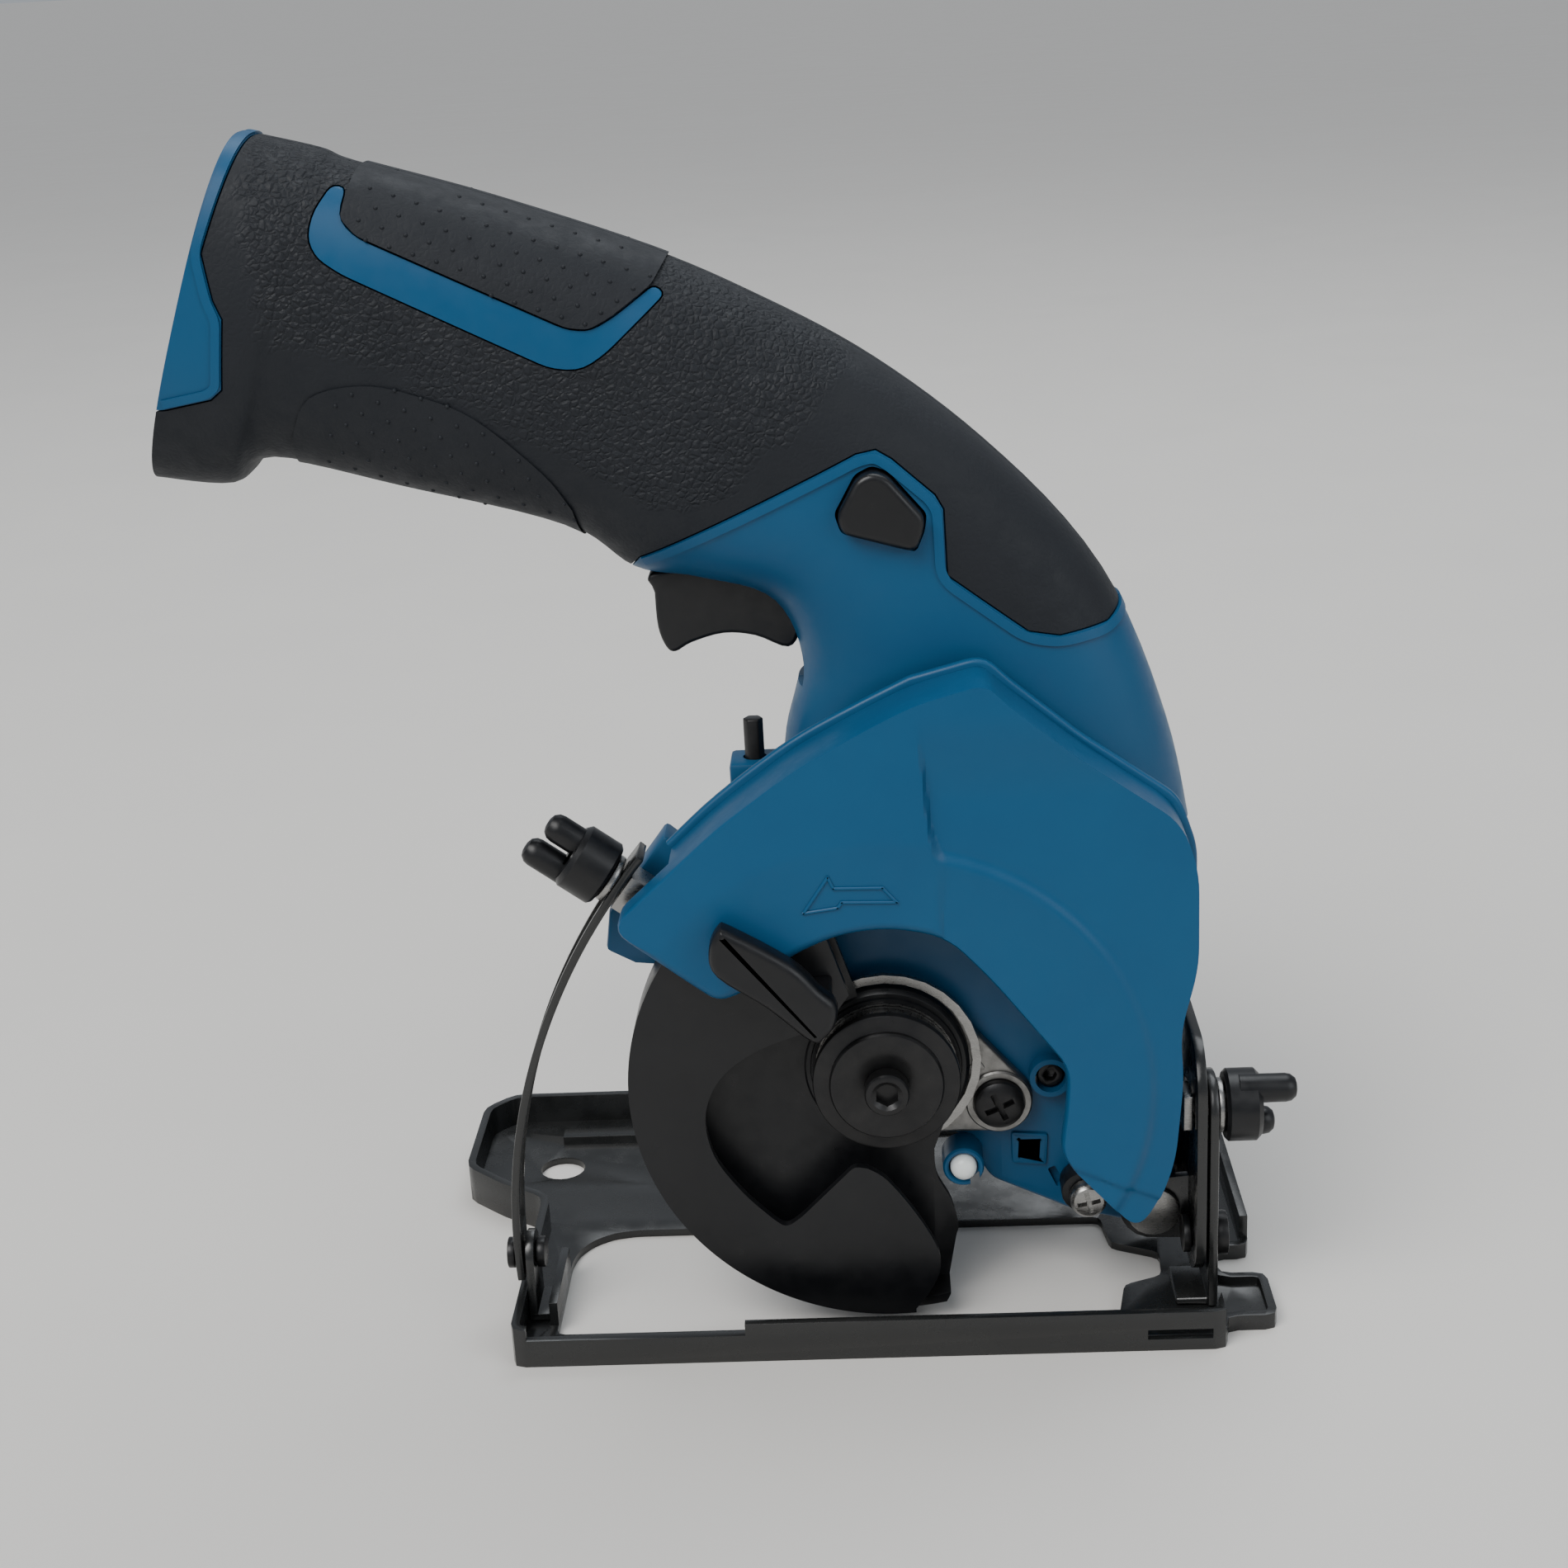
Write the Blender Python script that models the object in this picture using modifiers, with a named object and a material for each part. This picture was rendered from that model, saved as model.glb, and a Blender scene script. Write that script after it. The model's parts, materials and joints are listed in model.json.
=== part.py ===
"""A small battery circular saw, at rest with the body raised and the base square to the blade line.

All sizes are millimetres and degrees until MM turns them into metres. The design frame has +X towards
the front of the saw, +Y from the open blade side towards the motor, +Z up, x = 0 at the arbor, y = 0 at
the outer face of the lower guard and z = 0 on the underside of the sole. ORIGIN_Y moves the finished
part so that its origin lies on the underside of the wide part of the sole, below the arbor.
"""

import math

import bmesh
import bpy
from mathutils import Matrix, Vector

MM = 0.001
ORIGIN_Y = -60.0

# Working sizes that set everything else.
BLADE_R = 42.5
BLADE_BORE_R = 7.5
KERF_GAP = 1.0
MAX_CUT = 25.5
GAP = 0.3
FIT = 0.4

# Sole.
SOLE_T = 1.6
LIP_H = 8.0
LIP_T = 1.6
SOLE_REAR_X = -90.0
SOLE_NEAR_REAR_X = -72.0
SOLE_RAIL_FRONT_X = 61.5
SOLE_TAB_FRONT_X = 71.5
SOLE_FRONT_X = 70.0
SOLE_NEAR_Y = -10.2
SOLE_FAR_Y = 87.0
OPENING_NEAR_Y = -1.8
OPENING_FAR_Y = 36.3
OPENING_REAR_X = -64.5
OPENING_FRONT_X = 42.0

# Arbor, depth pivot and bevel axis.
ARBOR_Z = 50.5
PIVOT_X = 50.0
PIVOT_Z = 17.0
PIVOT_R = 3.0
LUG_R = 5.8
BEVEL_Y = 8.0
BEVEL_Z = 14.0
CLAMP_ANGLE = 143.2

# Depth guide.
GUIDE_R = 121.5
GUIDE_T = 1.5
GUIDE_HALF_W = 4.0
CLAMP_BOLT_R = 2.4
GUIDE_SLOT_W = 5.4

# Bevel quadrant.
QUADRANT_X = 56.7
QUADRANT_T = 1.8
BEVEL_SLOT_R = 27.0
BEVEL_MAX = 45.0
EAR_T = 1.8

# Lower guard and blade cover, along y from the guard's outer face.
GUARD_R = 47.5
GUARD_T = 1.8
GUARD_BACK_Y = 9.2
GUARD_DEPTH = 10.6
GUARD_BORE_R = 12.1
GUARD_HUB_R = 15.6
GUARD_HUB_BACK_Y = 12.0
COVER_FACE_Y = -5.5
COVER_BACK_Y = 11.5
COVER_T = 2.0
LEVER_FACE_Y = -11.5

# Spindle stack, along y.
FLANGE_R = 13.7
FLANGE_STEP_R = 10.6
FLANGE_FACE_Y = 0.6
FLANGE_RIM_Y = 2.2
FLANGE_BACK_Y = 4.0
BOLT_HEAD_R = 4.1
BOLT_HEAD_H = 3.6
SPINDLE_R = 5.0

# Gear train.
MODULE = 0.7
FINAL_TEETH = 38
STEP_PINION_TEETH = 10
STEP_GEAR_TEETH = 30
MOTOR_PINION_TEETH = 8
STEP_DIRECTION = 75.0
MOTOR_DIRECTION = 60.0

# Body.
BODY_MID_Y = 33.0
BODY_NEAR_Y = 15.3
BODY_FAR_Y = 50.0
BODY_HUB_R = 16.4
BODY_FAR_HUB_R = 13.2
BODY_HUB_RIM_Y = 35.8
BODY_WALL = 2.2
SKIN_T = 2.0
HANDLE_HALF_W = 18.5
BARREL_R = 20.6
BARREL_FAR_Y = 86.0
MOTOR_R = 17.6

# Casting, plate and motor can inside the body, along y.
GEAR_CASE_FAR_Y = 25.4
GEAR_PLATE_Y = (38.6, 41.6)
CAN_Y = (44.0, 78.0)

# Screws and bosses, as (x, z).
RETAINER_SCREW = (21.0, 41.0)
LOWER_SCREW = (37.3, 21.9)
CASE_BOSS = (30.8, 45.3)
CASE_BOSS_R = 3.9
CASE_SCREWS = ((40.0, 62.0), (46.0, 84.0), (-11.0, 88.0))
LAMP = (13.9, 29.2)

# Trigger, lock-off button, spindle lock and hexagon key.
TRIGGER_Y = (26.5, 39.5)
TRIGGER_AXIS = (-15.5, 137.5)
LOCK_REACH = 3.0
SHAFT_LOCK = (9.5, 47.0)
KEY_X = -22.2
KEY_Y = 25.8
KEY_R = 1.9
KEY_LOW_Z = 75.0
KEY_TOP_Z = 114.5
KEY_HOLDER_Z = (98.0, 107.0)

# Colour, roughness and metallic value of each material.
MATERIALS = {
    "teal_plastic": ((0.0, 0.36, 0.52), 0.35, 0.0),
    "black_elastomer": ((0.018, 0.018, 0.02), 0.75, 0.0),
    "black_plastic": ((0.012, 0.012, 0.013), 0.35, 0.0),
    "black_paint": ((0.01, 0.01, 0.011), 0.22, 0.0),
    "cast_aluminium": ((0.62, 0.62, 0.6), 0.4, 1.0),
    "bright_steel": ((0.55, 0.55, 0.55), 0.3, 1.0),
    "black_steel": ((0.035, 0.033, 0.032), 0.38, 1.0),
    "copper": ((0.72, 0.38, 0.2), 0.35, 1.0),
    "white_lens": ((0.86, 0.86, 0.84), 0.25, 0.0),
}

PARTS = "circular_saw"
CUTTERS = "cutters"


# ---------------------------------------------------------------- helpers


def clear_scene():
    for obj in list(bpy.data.objects):
        bpy.data.objects.remove(obj, do_unlink=True)
    for name in (PARTS, CUTTERS):
        collection = bpy.data.collections.new(name)
        bpy.context.scene.collection.children.link(collection)
    bpy.data.collections[CUTTERS].hide_render = True


def material(name):
    found = bpy.data.materials.get(name)
    if found:
        return found
    colour, roughness, metallic = MATERIALS[name]
    made = bpy.data.materials.new(name)
    made.use_nodes = True
    shader = made.node_tree.nodes["Principled BSDF"]
    shader.inputs["Base Color"].default_value = (*colour, 1.0)
    shader.inputs["Roughness"].default_value = roughness
    shader.inputs["Metallic"].default_value = metallic
    made.diffuse_color = (*colour, 1.0)
    return made


def place(obj, slot):
    """Puts an object with the parts, or with the cutters when it has no material."""
    collection = bpy.data.collections[PARTS if slot else CUTTERS]
    collection.objects.link(obj)
    if slot:
        obj.data.materials.clear()
        obj.data.materials.append(material(slot))
    else:
        obj.hide_render = True
        obj.display_type = "WIRE"
    return obj


def face_out(shape):
    """Turns every face of a closed shape outwards."""
    bmesh.ops.recalc_face_normals(shape, faces=shape.faces)
    if shape.calc_volume(signed=True) < 0:
        bmesh.ops.reverse_faces(shape, faces=shape.faces)


def mesh_object(name, shape, slot=None):
    mesh = bpy.data.meshes.new(name)
    face_out(shape)
    shape.to_mesh(mesh)
    shape.free()
    return place(bpy.data.objects.new(name, mesh), slot)


def bake(obj):
    """Turns an object's curve or modifiers into a plain welded mesh with the same name."""
    bpy.context.view_layer.update()
    evaluated = obj.evaluated_get(bpy.context.evaluated_depsgraph_get())
    mesh = bpy.data.meshes.new_from_object(evaluated)
    shape = bmesh.new()
    shape.from_mesh(mesh)
    shape.transform(obj.matrix_world)
    bmesh.ops.remove_doubles(shape, verts=shape.verts, dist=0.002 * MM)
    face_out(shape)
    shape.to_mesh(mesh)
    shape.free()
    name = obj.name
    slots = [slot.name for slot in obj.data.materials if slot]
    bpy.data.objects.remove(obj)
    made = bpy.data.objects.new(name, mesh)
    return place(made, slots[0] if slots else None)


def axis_matrix(axis):
    """The turn that takes a flat outline's normal to the named axis, and its u, v to x, z or y, z."""
    if axis == "y":
        return Matrix(((1, 0, 0, 0), (0, 0, -1, 0), (0, 1, 0, 0), (0, 0, 0, 1)))
    if axis == "x":
        return Matrix(((0, 0, 1, 0), (1, 0, 0, 0), (0, 1, 0, 0), (0, 0, 0, 1)))
    return Matrix.Identity(4)


def prism(name, points, low, high, axis="y", slot=None, round_edges=0.0):
    """A flat outline given thickness along an axis, from low to high."""
    curve = bpy.data.curves.new(name, "CURVE")
    curve.dimensions = "2D"
    curve.fill_mode = "BOTH"
    curve.extrude = (high - low) / 2 * MM
    spline = curve.splines.new("POLY")
    spline.points.add(len(points) - 1)
    for point, (u, v) in zip(spline.points, points):
        point.co = (u * MM, v * MM, 0, 1)
    spline.use_cyclic_u = True
    obj = place(bpy.data.objects.new(name, curve), slot)
    middle = (low + high) / 2 * MM
    shift = {"x": (middle, 0, 0), "y": (0, middle, 0), "z": (0, 0, middle)}[axis]
    obj.matrix_world = Matrix.Translation(shift) @ axis_matrix(axis)
    obj = bake(obj)
    if round_edges:
        bevel(obj, round_edges, 1)
    return obj


def cylinder(name, radius, centre, low, high, axis="y", slot=None, sides=24):
    """A round bar along an axis. The centre is (x, z) for y, (y, z) for x and (x, y) for z."""
    shape = bmesh.new()
    bmesh.ops.create_cone(
        shape,
        cap_ends=True,
        segments=sides,
        radius1=radius * MM,
        radius2=radius * MM,
        depth=(high - low) * MM,
    )
    middle = (low + high) / 2
    u, v = centre
    spot = {"x": (middle, u, v), "y": (u, middle, v), "z": (u, v, middle)}[axis]
    shape.transform(Matrix.Translation(Vector(spot) * MM) @ axis_matrix(axis))
    return mesh_object(name, shape, slot)


def box(name, low, high, slot=None):
    shape = bmesh.new()
    bmesh.ops.create_cube(shape, size=1.0)
    size = Vector(high) - Vector(low)
    middle = (Vector(high) + Vector(low)) / 2
    shape.transform(Matrix.Translation(middle * MM) @ Matrix.Diagonal((*(size * MM), 1)))
    return mesh_object(name, shape, slot)


def turned(name, profile, centre, slot=None, sides=32):
    """A shape turned about an axis along y through (x, z), from (radius, y) points going down its outside."""
    mesh = bpy.data.meshes.new(name)
    points = [(radius * MM, 0, -y * MM) for radius, y in profile]
    closed = profile[0][0] > 0 and profile[-1][0] > 0
    edges = [(i, i + 1) for i in range(len(points) - 1)]
    if closed:
        edges.append((len(points) - 1, 0))
    mesh.from_pydata(points, edges, [])
    obj = place(bpy.data.objects.new(name, mesh), slot)
    screw = obj.modifiers.new("turn", "SCREW")
    screw.axis = "Z"
    screw.steps = sides
    screw.render_steps = sides
    screw.use_merge_vertices = True
    screw.merge_threshold = 0.00001
    screw.use_normal_calculate = True
    x, z = centre
    obj.matrix_world = Matrix.Translation((x * MM, 0, z * MM)) @ axis_matrix("y")
    return bake(obj)


def bevel(obj, width, segments=2):
    modifier = obj.modifiers.new("round", "BEVEL")
    modifier.width = width * MM
    modifier.segments = segments
    modifier.limit_method = "ANGLE"
    modifier.angle_limit = math.radians(50)


def boolean(obj, other, operation):
    modifier = obj.modifiers.new(operation.lower(), "BOOLEAN")
    modifier.operation = operation
    modifier.solver = "EXACT"
    modifier.object = other
    if not other.parent:
        other.parent = obj
    return obj


def cut(obj, *others):
    for other in others:
        boolean(obj, other, "DIFFERENCE")
    return obj


def join(obj, *others):
    for other in others:
        boolean(obj, other, "UNION")
    return obj


def keep(obj, other):
    return boolean(obj, other, "INTERSECT")


def smooth(obj, angle=35):
    obj.data.shade_smooth()
    obj.data.set_sharp_from_angle(angle=math.radians(angle))
    return obj


def polar(centre, radius, degrees):
    turn = math.radians(degrees)
    return (centre[0] + radius * math.cos(turn), centre[1] + radius * math.sin(turn))


def arc(centre, radius, start, end, steps):
    return [polar(centre, radius, start + (end - start) * i / steps) for i in range(steps + 1)]


def inset(points, distance):
    """The outline moved inwards by a distance, for points listed anticlockwise."""
    made = []
    count = len(points)
    for i in range(count):
        before = Vector(points[i - 1])
        here = Vector(points[i])
        after = Vector(points[(i + 1) % count])
        first = (here - before).normalized()
        second = (after - here).normalized()
        normal = Vector((-first.y, first.x)) + Vector((-second.y, second.x))
        scale = distance / max(0.35, (1 + first.dot(second)) / 2)
        made.append(tuple(here + normal / 2 * scale))
    return made


def rounded(points, radius, steps=3):
    """The outline with each corner replaced by a short arc of about the radius."""
    made = []
    count = len(points)
    for i in range(count):
        before = Vector(points[i - 1])
        here = Vector(points[i])
        after = Vector(points[(i + 1) % count])
        back = (before - here)
        ahead = (after - here)
        reach = min(radius, back.length * 0.45, ahead.length * 0.45)
        start = here + back.normalized() * reach
        end = here + ahead.normalized() * reach
        for k in range(steps + 1):
            t = k / steps
            made.append(tuple(start * (1 - t) ** 2 + here * 2 * t * (1 - t) + end * t * t))
    return made


def hull_of_circles(first, first_r, second, second_r, steps=10):
    """The outline of a belt round two circles, anticlockwise."""
    gap = Vector(second) - Vector(first)
    heading = math.degrees(math.atan2(gap.y, gap.x))
    lean = math.degrees(math.acos((first_r - second_r) / gap.length))
    return arc(first, first_r, heading + lean, heading - lean + 360, steps) + arc(
        second, second_r, heading - lean, heading + lean, steps
    )


def catmull(keys, steps):
    """Rows of numbers read along a smooth curve through the key rows."""
    rows = []
    last = len(keys) - 1
    for i in range(last):
        a, b, c, d = keys[max(i - 1, 0)], keys[i], keys[i + 1], keys[min(i + 2, last)]
        for k in range(steps):
            t = k / steps
            row = []
            for p, q, r, s in zip(a, b, c, d):
                row.append(
                    0.5 * (2 * q + (r - p) * t + (2 * p - 5 * q + 4 * r - s) * t**2)
                    + 0.5 * (3 * q - p - 3 * r + s) * t**3
                )
            rows.append(row)
    rows.append(list(keys[-1]))
    return rows


# ---------------------------------------------------------------- shared places

ARBOR = (0.0, ARBOR_Z)
PIVOT = (PIVOT_X, PIVOT_Z)
ARBOR_REACH = math.hypot(PIVOT_X, ARBOR_Z - PIVOT_Z)
ARBOR_REST_ANGLE = math.degrees(math.atan2(ARBOR_Z - PIVOT_Z, -PIVOT_X))
ARBOR_LOW_Z = BLADE_R - MAX_CUT
DEPTH_RANGE = 180 + math.degrees(math.asin((PIVOT_Z - ARBOR_LOW_Z) / ARBOR_REACH)) - ARBOR_REST_ANGLE

STEP_DISTANCE = MODULE * (FINAL_TEETH + STEP_PINION_TEETH) / 2
MOTOR_DISTANCE = MODULE * (STEP_GEAR_TEETH + MOTOR_PINION_TEETH) / 2
STEP_SHAFT = polar(ARBOR, STEP_DISTANCE, STEP_DIRECTION)
MOTOR_SHAFT = polar(STEP_SHAFT, MOTOR_DISTANCE, MOTOR_DIRECTION)

GEAR_Y = (26.0, 31.6)
STEP_GEAR_Y = (33.2, 38.0)
RETAINER_PLATE_Y = (GUARD_HUB_BACK_Y + FIT, BODY_NEAR_Y - GAP)
RETAINER_BOSS_R = GUARD_BORE_R - FIT
GEAR_CASE_Y = (BODY_NEAR_Y + BODY_WALL + GAP, GEAR_CASE_FAR_Y)
GUIDE_X = PIVOT_X - GUIDE_R
EAR_X = QUADRANT_X + QUADRANT_T + 0.6


def radial(radius, degrees):
    """(x, z) at a distance and direction from the depth pivot."""
    return polar(PIVOT, radius, degrees)



# ---------------------------------------------------------------- base


def sole_outline():
    return [
        (SOLE_NEAR_REAR_X, SOLE_NEAR_Y),
        (SOLE_RAIL_FRONT_X, SOLE_NEAR_Y),
        (SOLE_RAIL_FRONT_X, SOLE_NEAR_Y + 6),
        (SOLE_TAB_FRONT_X, SOLE_NEAR_Y + 6),
        (SOLE_TAB_FRONT_X, 11),
        (SOLE_RAIL_FRONT_X + 1, 11),
        (SOLE_RAIL_FRONT_X + 1, 21),
        (SOLE_FRONT_X, 21),
        (SOLE_FRONT_X, SOLE_FAR_Y - 7),
        (SOLE_FRONT_X - 7, SOLE_FAR_Y),
        (SOLE_REAR_X + 6, SOLE_FAR_Y),
        (SOLE_REAR_X, SOLE_FAR_Y - 6),
        (SOLE_REAR_X, 54),
        (SOLE_REAR_X + 9, 45.8),
        (SOLE_NEAR_REAR_X, 40),
    ]


def opening_outline():
    corner = 12.0
    middle = (OPENING_REAR_X + corner, OPENING_FAR_Y - corner)
    return [
        (OPENING_REAR_X, OPENING_NEAR_Y),
        (OPENING_FRONT_X, OPENING_NEAR_Y),
        (OPENING_FRONT_X + 2.3, 10.4),
        (OPENING_FRONT_X + 9.8, 13.4),
        (OPENING_FRONT_X + 10.4, 22.0),
        (OPENING_FRONT_X + 1.2, 26.3),
        (OPENING_FRONT_X, OPENING_FAR_Y),
    ] + arc(middle, corner, 90, 180, 4)


def make_sole():
    outline = rounded(sole_outline(), 2.5, 2)
    sole = prism("sole_plate", outline, 0, LIP_H, "z", "black_paint")
    pocket = prism("cut_sole_pocket", inset(outline, LIP_T), SOLE_T, LIP_H + 2, "z")
    opening = prism("cut_sole_opening", rounded(opening_outline(), 1.5, 2), -2, LIP_H + 4, "z")
    hole = cylinder("cut_sole_hole", 4.8, (SOLE_NEAR_REAR_X + 1, 63.6), -2, SOLE_T + 2, "z", sides=20)
    rail = SOLE_RAIL_FRONT_X
    front_low = box("cut_front_lip", (rail - 0.6, SOLE_NEAR_Y + 1, 3.2), (SOLE_FRONT_X + 4, 24, 12))
    rear_low = box("cut_rear_lip", (SOLE_NEAR_REAR_X + 3, SOLE_NEAR_Y - 2, 5.6), (-28, SOLE_NEAR_Y + 3, 12))
    slot = box("cut_fence_slot", (rail - 15, SOLE_NEAR_Y - 2, 2.4), (rail - 3, SOLE_NEAR_Y + 3, 4.4))
    cut(sole, pocket, opening, hole, front_low, rear_low, slot)
    rib = box("add_sole_rib", (SOLE_NEAR_REAR_X, 74, 0.8), (SOLE_FRONT_X - 12, 78, 3.6))
    tab = box("add_slot_tab", (OPENING_REAR_X - 1.6, 1.4, 0.8), (OPENING_REAR_X, 22, 6.5))
    join(sole, rib, tab)
    return sole


def make_rear_ear():
    """The upright at the rear of the sole that the depth guide tilts on."""
    inner = GUIDE_X + GUIDE_T / 2 + 2 * GAP
    top = BEVEL_Z + 4.5
    outline = arc((BEVEL_Y, BEVEL_Z), top - BEVEL_Z, 0, 180, 6)
    outline += [(BEVEL_Y - 5, SOLE_T + GAP), (BEVEL_Y + 5, SOLE_T + GAP)]
    ear = prism("rear_ear", outline, inner, inner + 1.5, "x", "black_paint")
    foot_end = (OPENING_REAR_X - 1.6 - GAP, BEVEL_Y + 5, SOLE_T + 1.6)
    foot = box("add_rear_foot", (inner + 0.5, BEVEL_Y - 5, SOLE_T + GAP), foot_end)
    join(ear, foot)
    cut(ear, cylinder("cut_rear_ear", 2.3, (BEVEL_Y, BEVEL_Z), inner - 3, inner + 4, "x", sides=16))
    rivet_low = GUIDE_X - GUIDE_T / 2 - GAP
    rivet = cylinder("rear_rivet", 1.9, (BEVEL_Y, BEVEL_Z), rivet_low - 1, inner + 3, "x", "black_steel", 16)
    head = cylinder("add_rear_rivet_out", 3.0, (BEVEL_Y, BEVEL_Z), rivet_low - 1.4, rivet_low, "x", sides=16)
    inner_end = inner + 1.5 + GAP
    inside = cylinder("add_rear_rivet_in", 3.0, (BEVEL_Y, BEVEL_Z), inner_end, inner + 3.4, "x", sides=16)
    join(rivet, head, inside)


def make_front_ear():
    """The upright at the front of the sole that carries the bevel pivot and the bevel clamp."""
    clamp_z = BEVEL_Z + BEVEL_SLOT_R
    outline = [(BEVEL_Y - 7, SOLE_T + GAP), (BEVEL_Y + 7, SOLE_T + GAP)]
    outline += arc((BEVEL_Y, clamp_z), 7, 0, 180, 8)
    ear = prism("front_ear", outline, EAR_X, EAR_X + EAR_T, "x", "black_paint")
    foot = box("add_front_foot", (EAR_X - 6, 2, SOLE_T + GAP), (EAR_X + 0.8, 14, SOLE_T + 1.8))
    join(ear, foot)
    cut(
        ear,
        cylinder("cut_front_ear_pivot", 2.8, (BEVEL_Y, BEVEL_Z), EAR_X - 3, EAR_X + 5, "x", sides=16),
        cylinder("cut_front_ear_clamp", 2.8, (BEVEL_Y, clamp_z), EAR_X - 3, EAR_X + 5, "x", sides=16),
    )
    head_x = QUADRANT_X - GAP
    out_x = EAR_X + EAR_T + GAP
    pivot = (BEVEL_Y, BEVEL_Z)
    rivet = cylinder("front_rivet", 2.4, pivot, head_x - 1, out_x + 1, "x", "black_steel", 16)
    join(
        rivet,
        cylinder("add_front_rivet_in", 3.6, pivot, head_x - 1.4, head_x, "x", sides=20),
        cylinder("add_front_rivet_out", 4.2, pivot, out_x, out_x + 2.2, "x", sides=20),
    )
    clamp = (BEVEL_Y, clamp_z)
    bolt = cylinder("bevel_bolt", CLAMP_BOLT_R, clamp, head_x - 1, out_x + 7.5, "x", "bright_steel", 16)
    low = (head_x - 1.8, BEVEL_Y - 3.5, clamp_z - 3.5)
    head = box("add_bevel_bolt_head", low, (head_x, BEVEL_Y + 3.5, clamp_z + 3.5))
    join(bolt, head)
    washer = cylinder("bevel_washer", 5.2, clamp, out_x, out_x + 1.0, "x", "bright_steel", 20)
    cut(washer, cylinder("cut_bevel_washer", CLAMP_BOLT_R + FIT, clamp, out_x - 2, out_x + 3, "x", sides=16))
    return out_x


def make_bevel_knob(out_x):
    """The front clamp knob, bored for its bolt, with two blunt wings."""
    clamp_z = BEVEL_Z + BEVEL_SLOT_R
    low = out_x + 1.0 + GAP
    knob = cylinder("bevel_knob", 6.8, (BEVEL_Y, clamp_z), low, low + 6.6, "x", "black_plastic", 20)
    bevel(knob, 0.8, 1)
    wings = []
    for i, (dy, dz, reach) in enumerate(((1.5, 4.2, 3.2), (-2.0, -4.2, 6.6))):
        spot = (BEVEL_Y + dy, clamp_z + dz)
        wing = cylinder(f"add_bevel_wing_{i}", 2.7, spot, low + 3, low + 6.6 + reach, "x", sides=16)
        bevel(wing, 1.2, 2)
        wings.append(wing)
    join(knob, *wings)
    clamp = (BEVEL_Y, clamp_z)
    bore = cylinder("cut_bevel_knob", CLAMP_BOLT_R + FIT, clamp, low - 3, out_x + 8.4, "x", sides=16)
    cut(knob, bore)


# ---------------------------------------------------------------- bevel carriage


def make_quadrant():
    """The front bracket: a slotted plate across the saw and two arms that hold the depth pivot pin."""
    outline = [(0, 12), (8, 5.8), (20, 8), (35.4, 10.5), (35.4, 46), (28, 55), (6, 55), (0, 49)]
    outline = rounded(outline, 4, 3)
    low, high = QUADRANT_X, QUADRANT_X + QUADRANT_T
    plate = prism("bevel_quadrant", outline, low, high, "x", "black_paint")
    near = (RETAINER_PLATE_Y[0] - 0.2, BODY_NEAR_Y - 1.3)
    far = (BODY_MID_Y + 0.6, BODY_MID_Y + 2.4)
    arms = []
    for i, (start, end) in enumerate((near, far)):
        side = [(low + 1, PIVOT_Z - 6.5), (low + 1, PIVOT_Z + 7)]
        side += arc(PIVOT, 6.3, 100, 260, 8)
        arms.append(prism(f"add_arm_{i}", side, start, end, "y"))
    join(plate, *arms)
    mid = (BEVEL_Y, BEVEL_Z)
    half = GUIDE_SLOT_W / 2
    ends = (90 - BEVEL_MAX, 90)
    slot = arc(mid, BEVEL_SLOT_R + half, ends[0], ends[1], 8)
    slot += arc(polar(mid, BEVEL_SLOT_R, ends[1]), half, ends[1], ends[1] + 180, 5)[1:]
    slot += arc(mid, BEVEL_SLOT_R - half, ends[1], ends[0], 8)[1:]
    slot += arc(polar(mid, BEVEL_SLOT_R, ends[0]), half, ends[0] + 180, ends[0] + 360, 5)[1:-1]
    cut(
        plate,
        prism("cut_bevel_slot", slot, low - 3, high + 3, "x"),
        cylinder("cut_quadrant_pivot", 2.8, mid, low - 3, high + 3, "x", sides=16),
        cylinder("cut_arm_bore", PIVOT_R + FIT, PIVOT, near[0] - 2, far[1] + 2, sides=20),
    )
    head_y = near[0] - GAP
    end_y = far[1] + GAP
    pin = cylinder("depth_pin", PIVOT_R, PIVOT, head_y - 0.6, end_y + 2.4, slot="bright_steel", sides=20)
    join(pin, cylinder("add_depth_pin_head", 5.0, PIVOT, head_y - 1.2, head_y, sides=20))
    clip = cylinder("depth_pin_clip", 4.8, PIVOT, end_y, end_y + 0.9, slot="bright_steel", sides=20)
    cut(clip, cylinder("cut_pin_clip", PIVOT_R + GAP, PIVOT, end_y - 1, end_y + 2, sides=20))


def make_depth_guide():
    """A thin curved strip round the depth pivot, slotted for the clamp bolt."""
    low_angle = 180 + math.degrees(math.asin((PIVOT_Z - BEVEL_Z + 4) / GUIDE_R))
    high_angle = CLAMP_ANGLE - 3.6
    strip = arc(PIVOT, GUIDE_R + GUIDE_T / 2, high_angle, low_angle, 22)
    strip += arc(PIVOT, GUIDE_R - GUIDE_T / 2, low_angle, high_angle, 22)
    guide = prism("depth_guide", strip, BEVEL_Y - GUIDE_HALF_W, BEVEL_Y + GUIDE_HALF_W, "y", "black_paint")
    room = math.degrees((CLAMP_BOLT_R + FIT) / GUIDE_R)
    top = CLAMP_ANGLE - room
    bottom = CLAMP_ANGLE + DEPTH_RANGE + room
    slot = arc(PIVOT, GUIDE_R + 3, top, bottom, 20) + arc(PIVOT, GUIDE_R - 3, bottom, top, 20)
    half = GUIDE_SLOT_W / 2
    cut(
        guide,
        prism("cut_guide_slot", slot, BEVEL_Y - half, BEVEL_Y + half, "y"),
        cylinder("cut_guide_rivet", 2.3, (BEVEL_Y, BEVEL_Z), GUIDE_X - 4, GUIDE_X + 4, "x", sides=16),
    )


# ---------------------------------------------------------------- saw body


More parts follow.
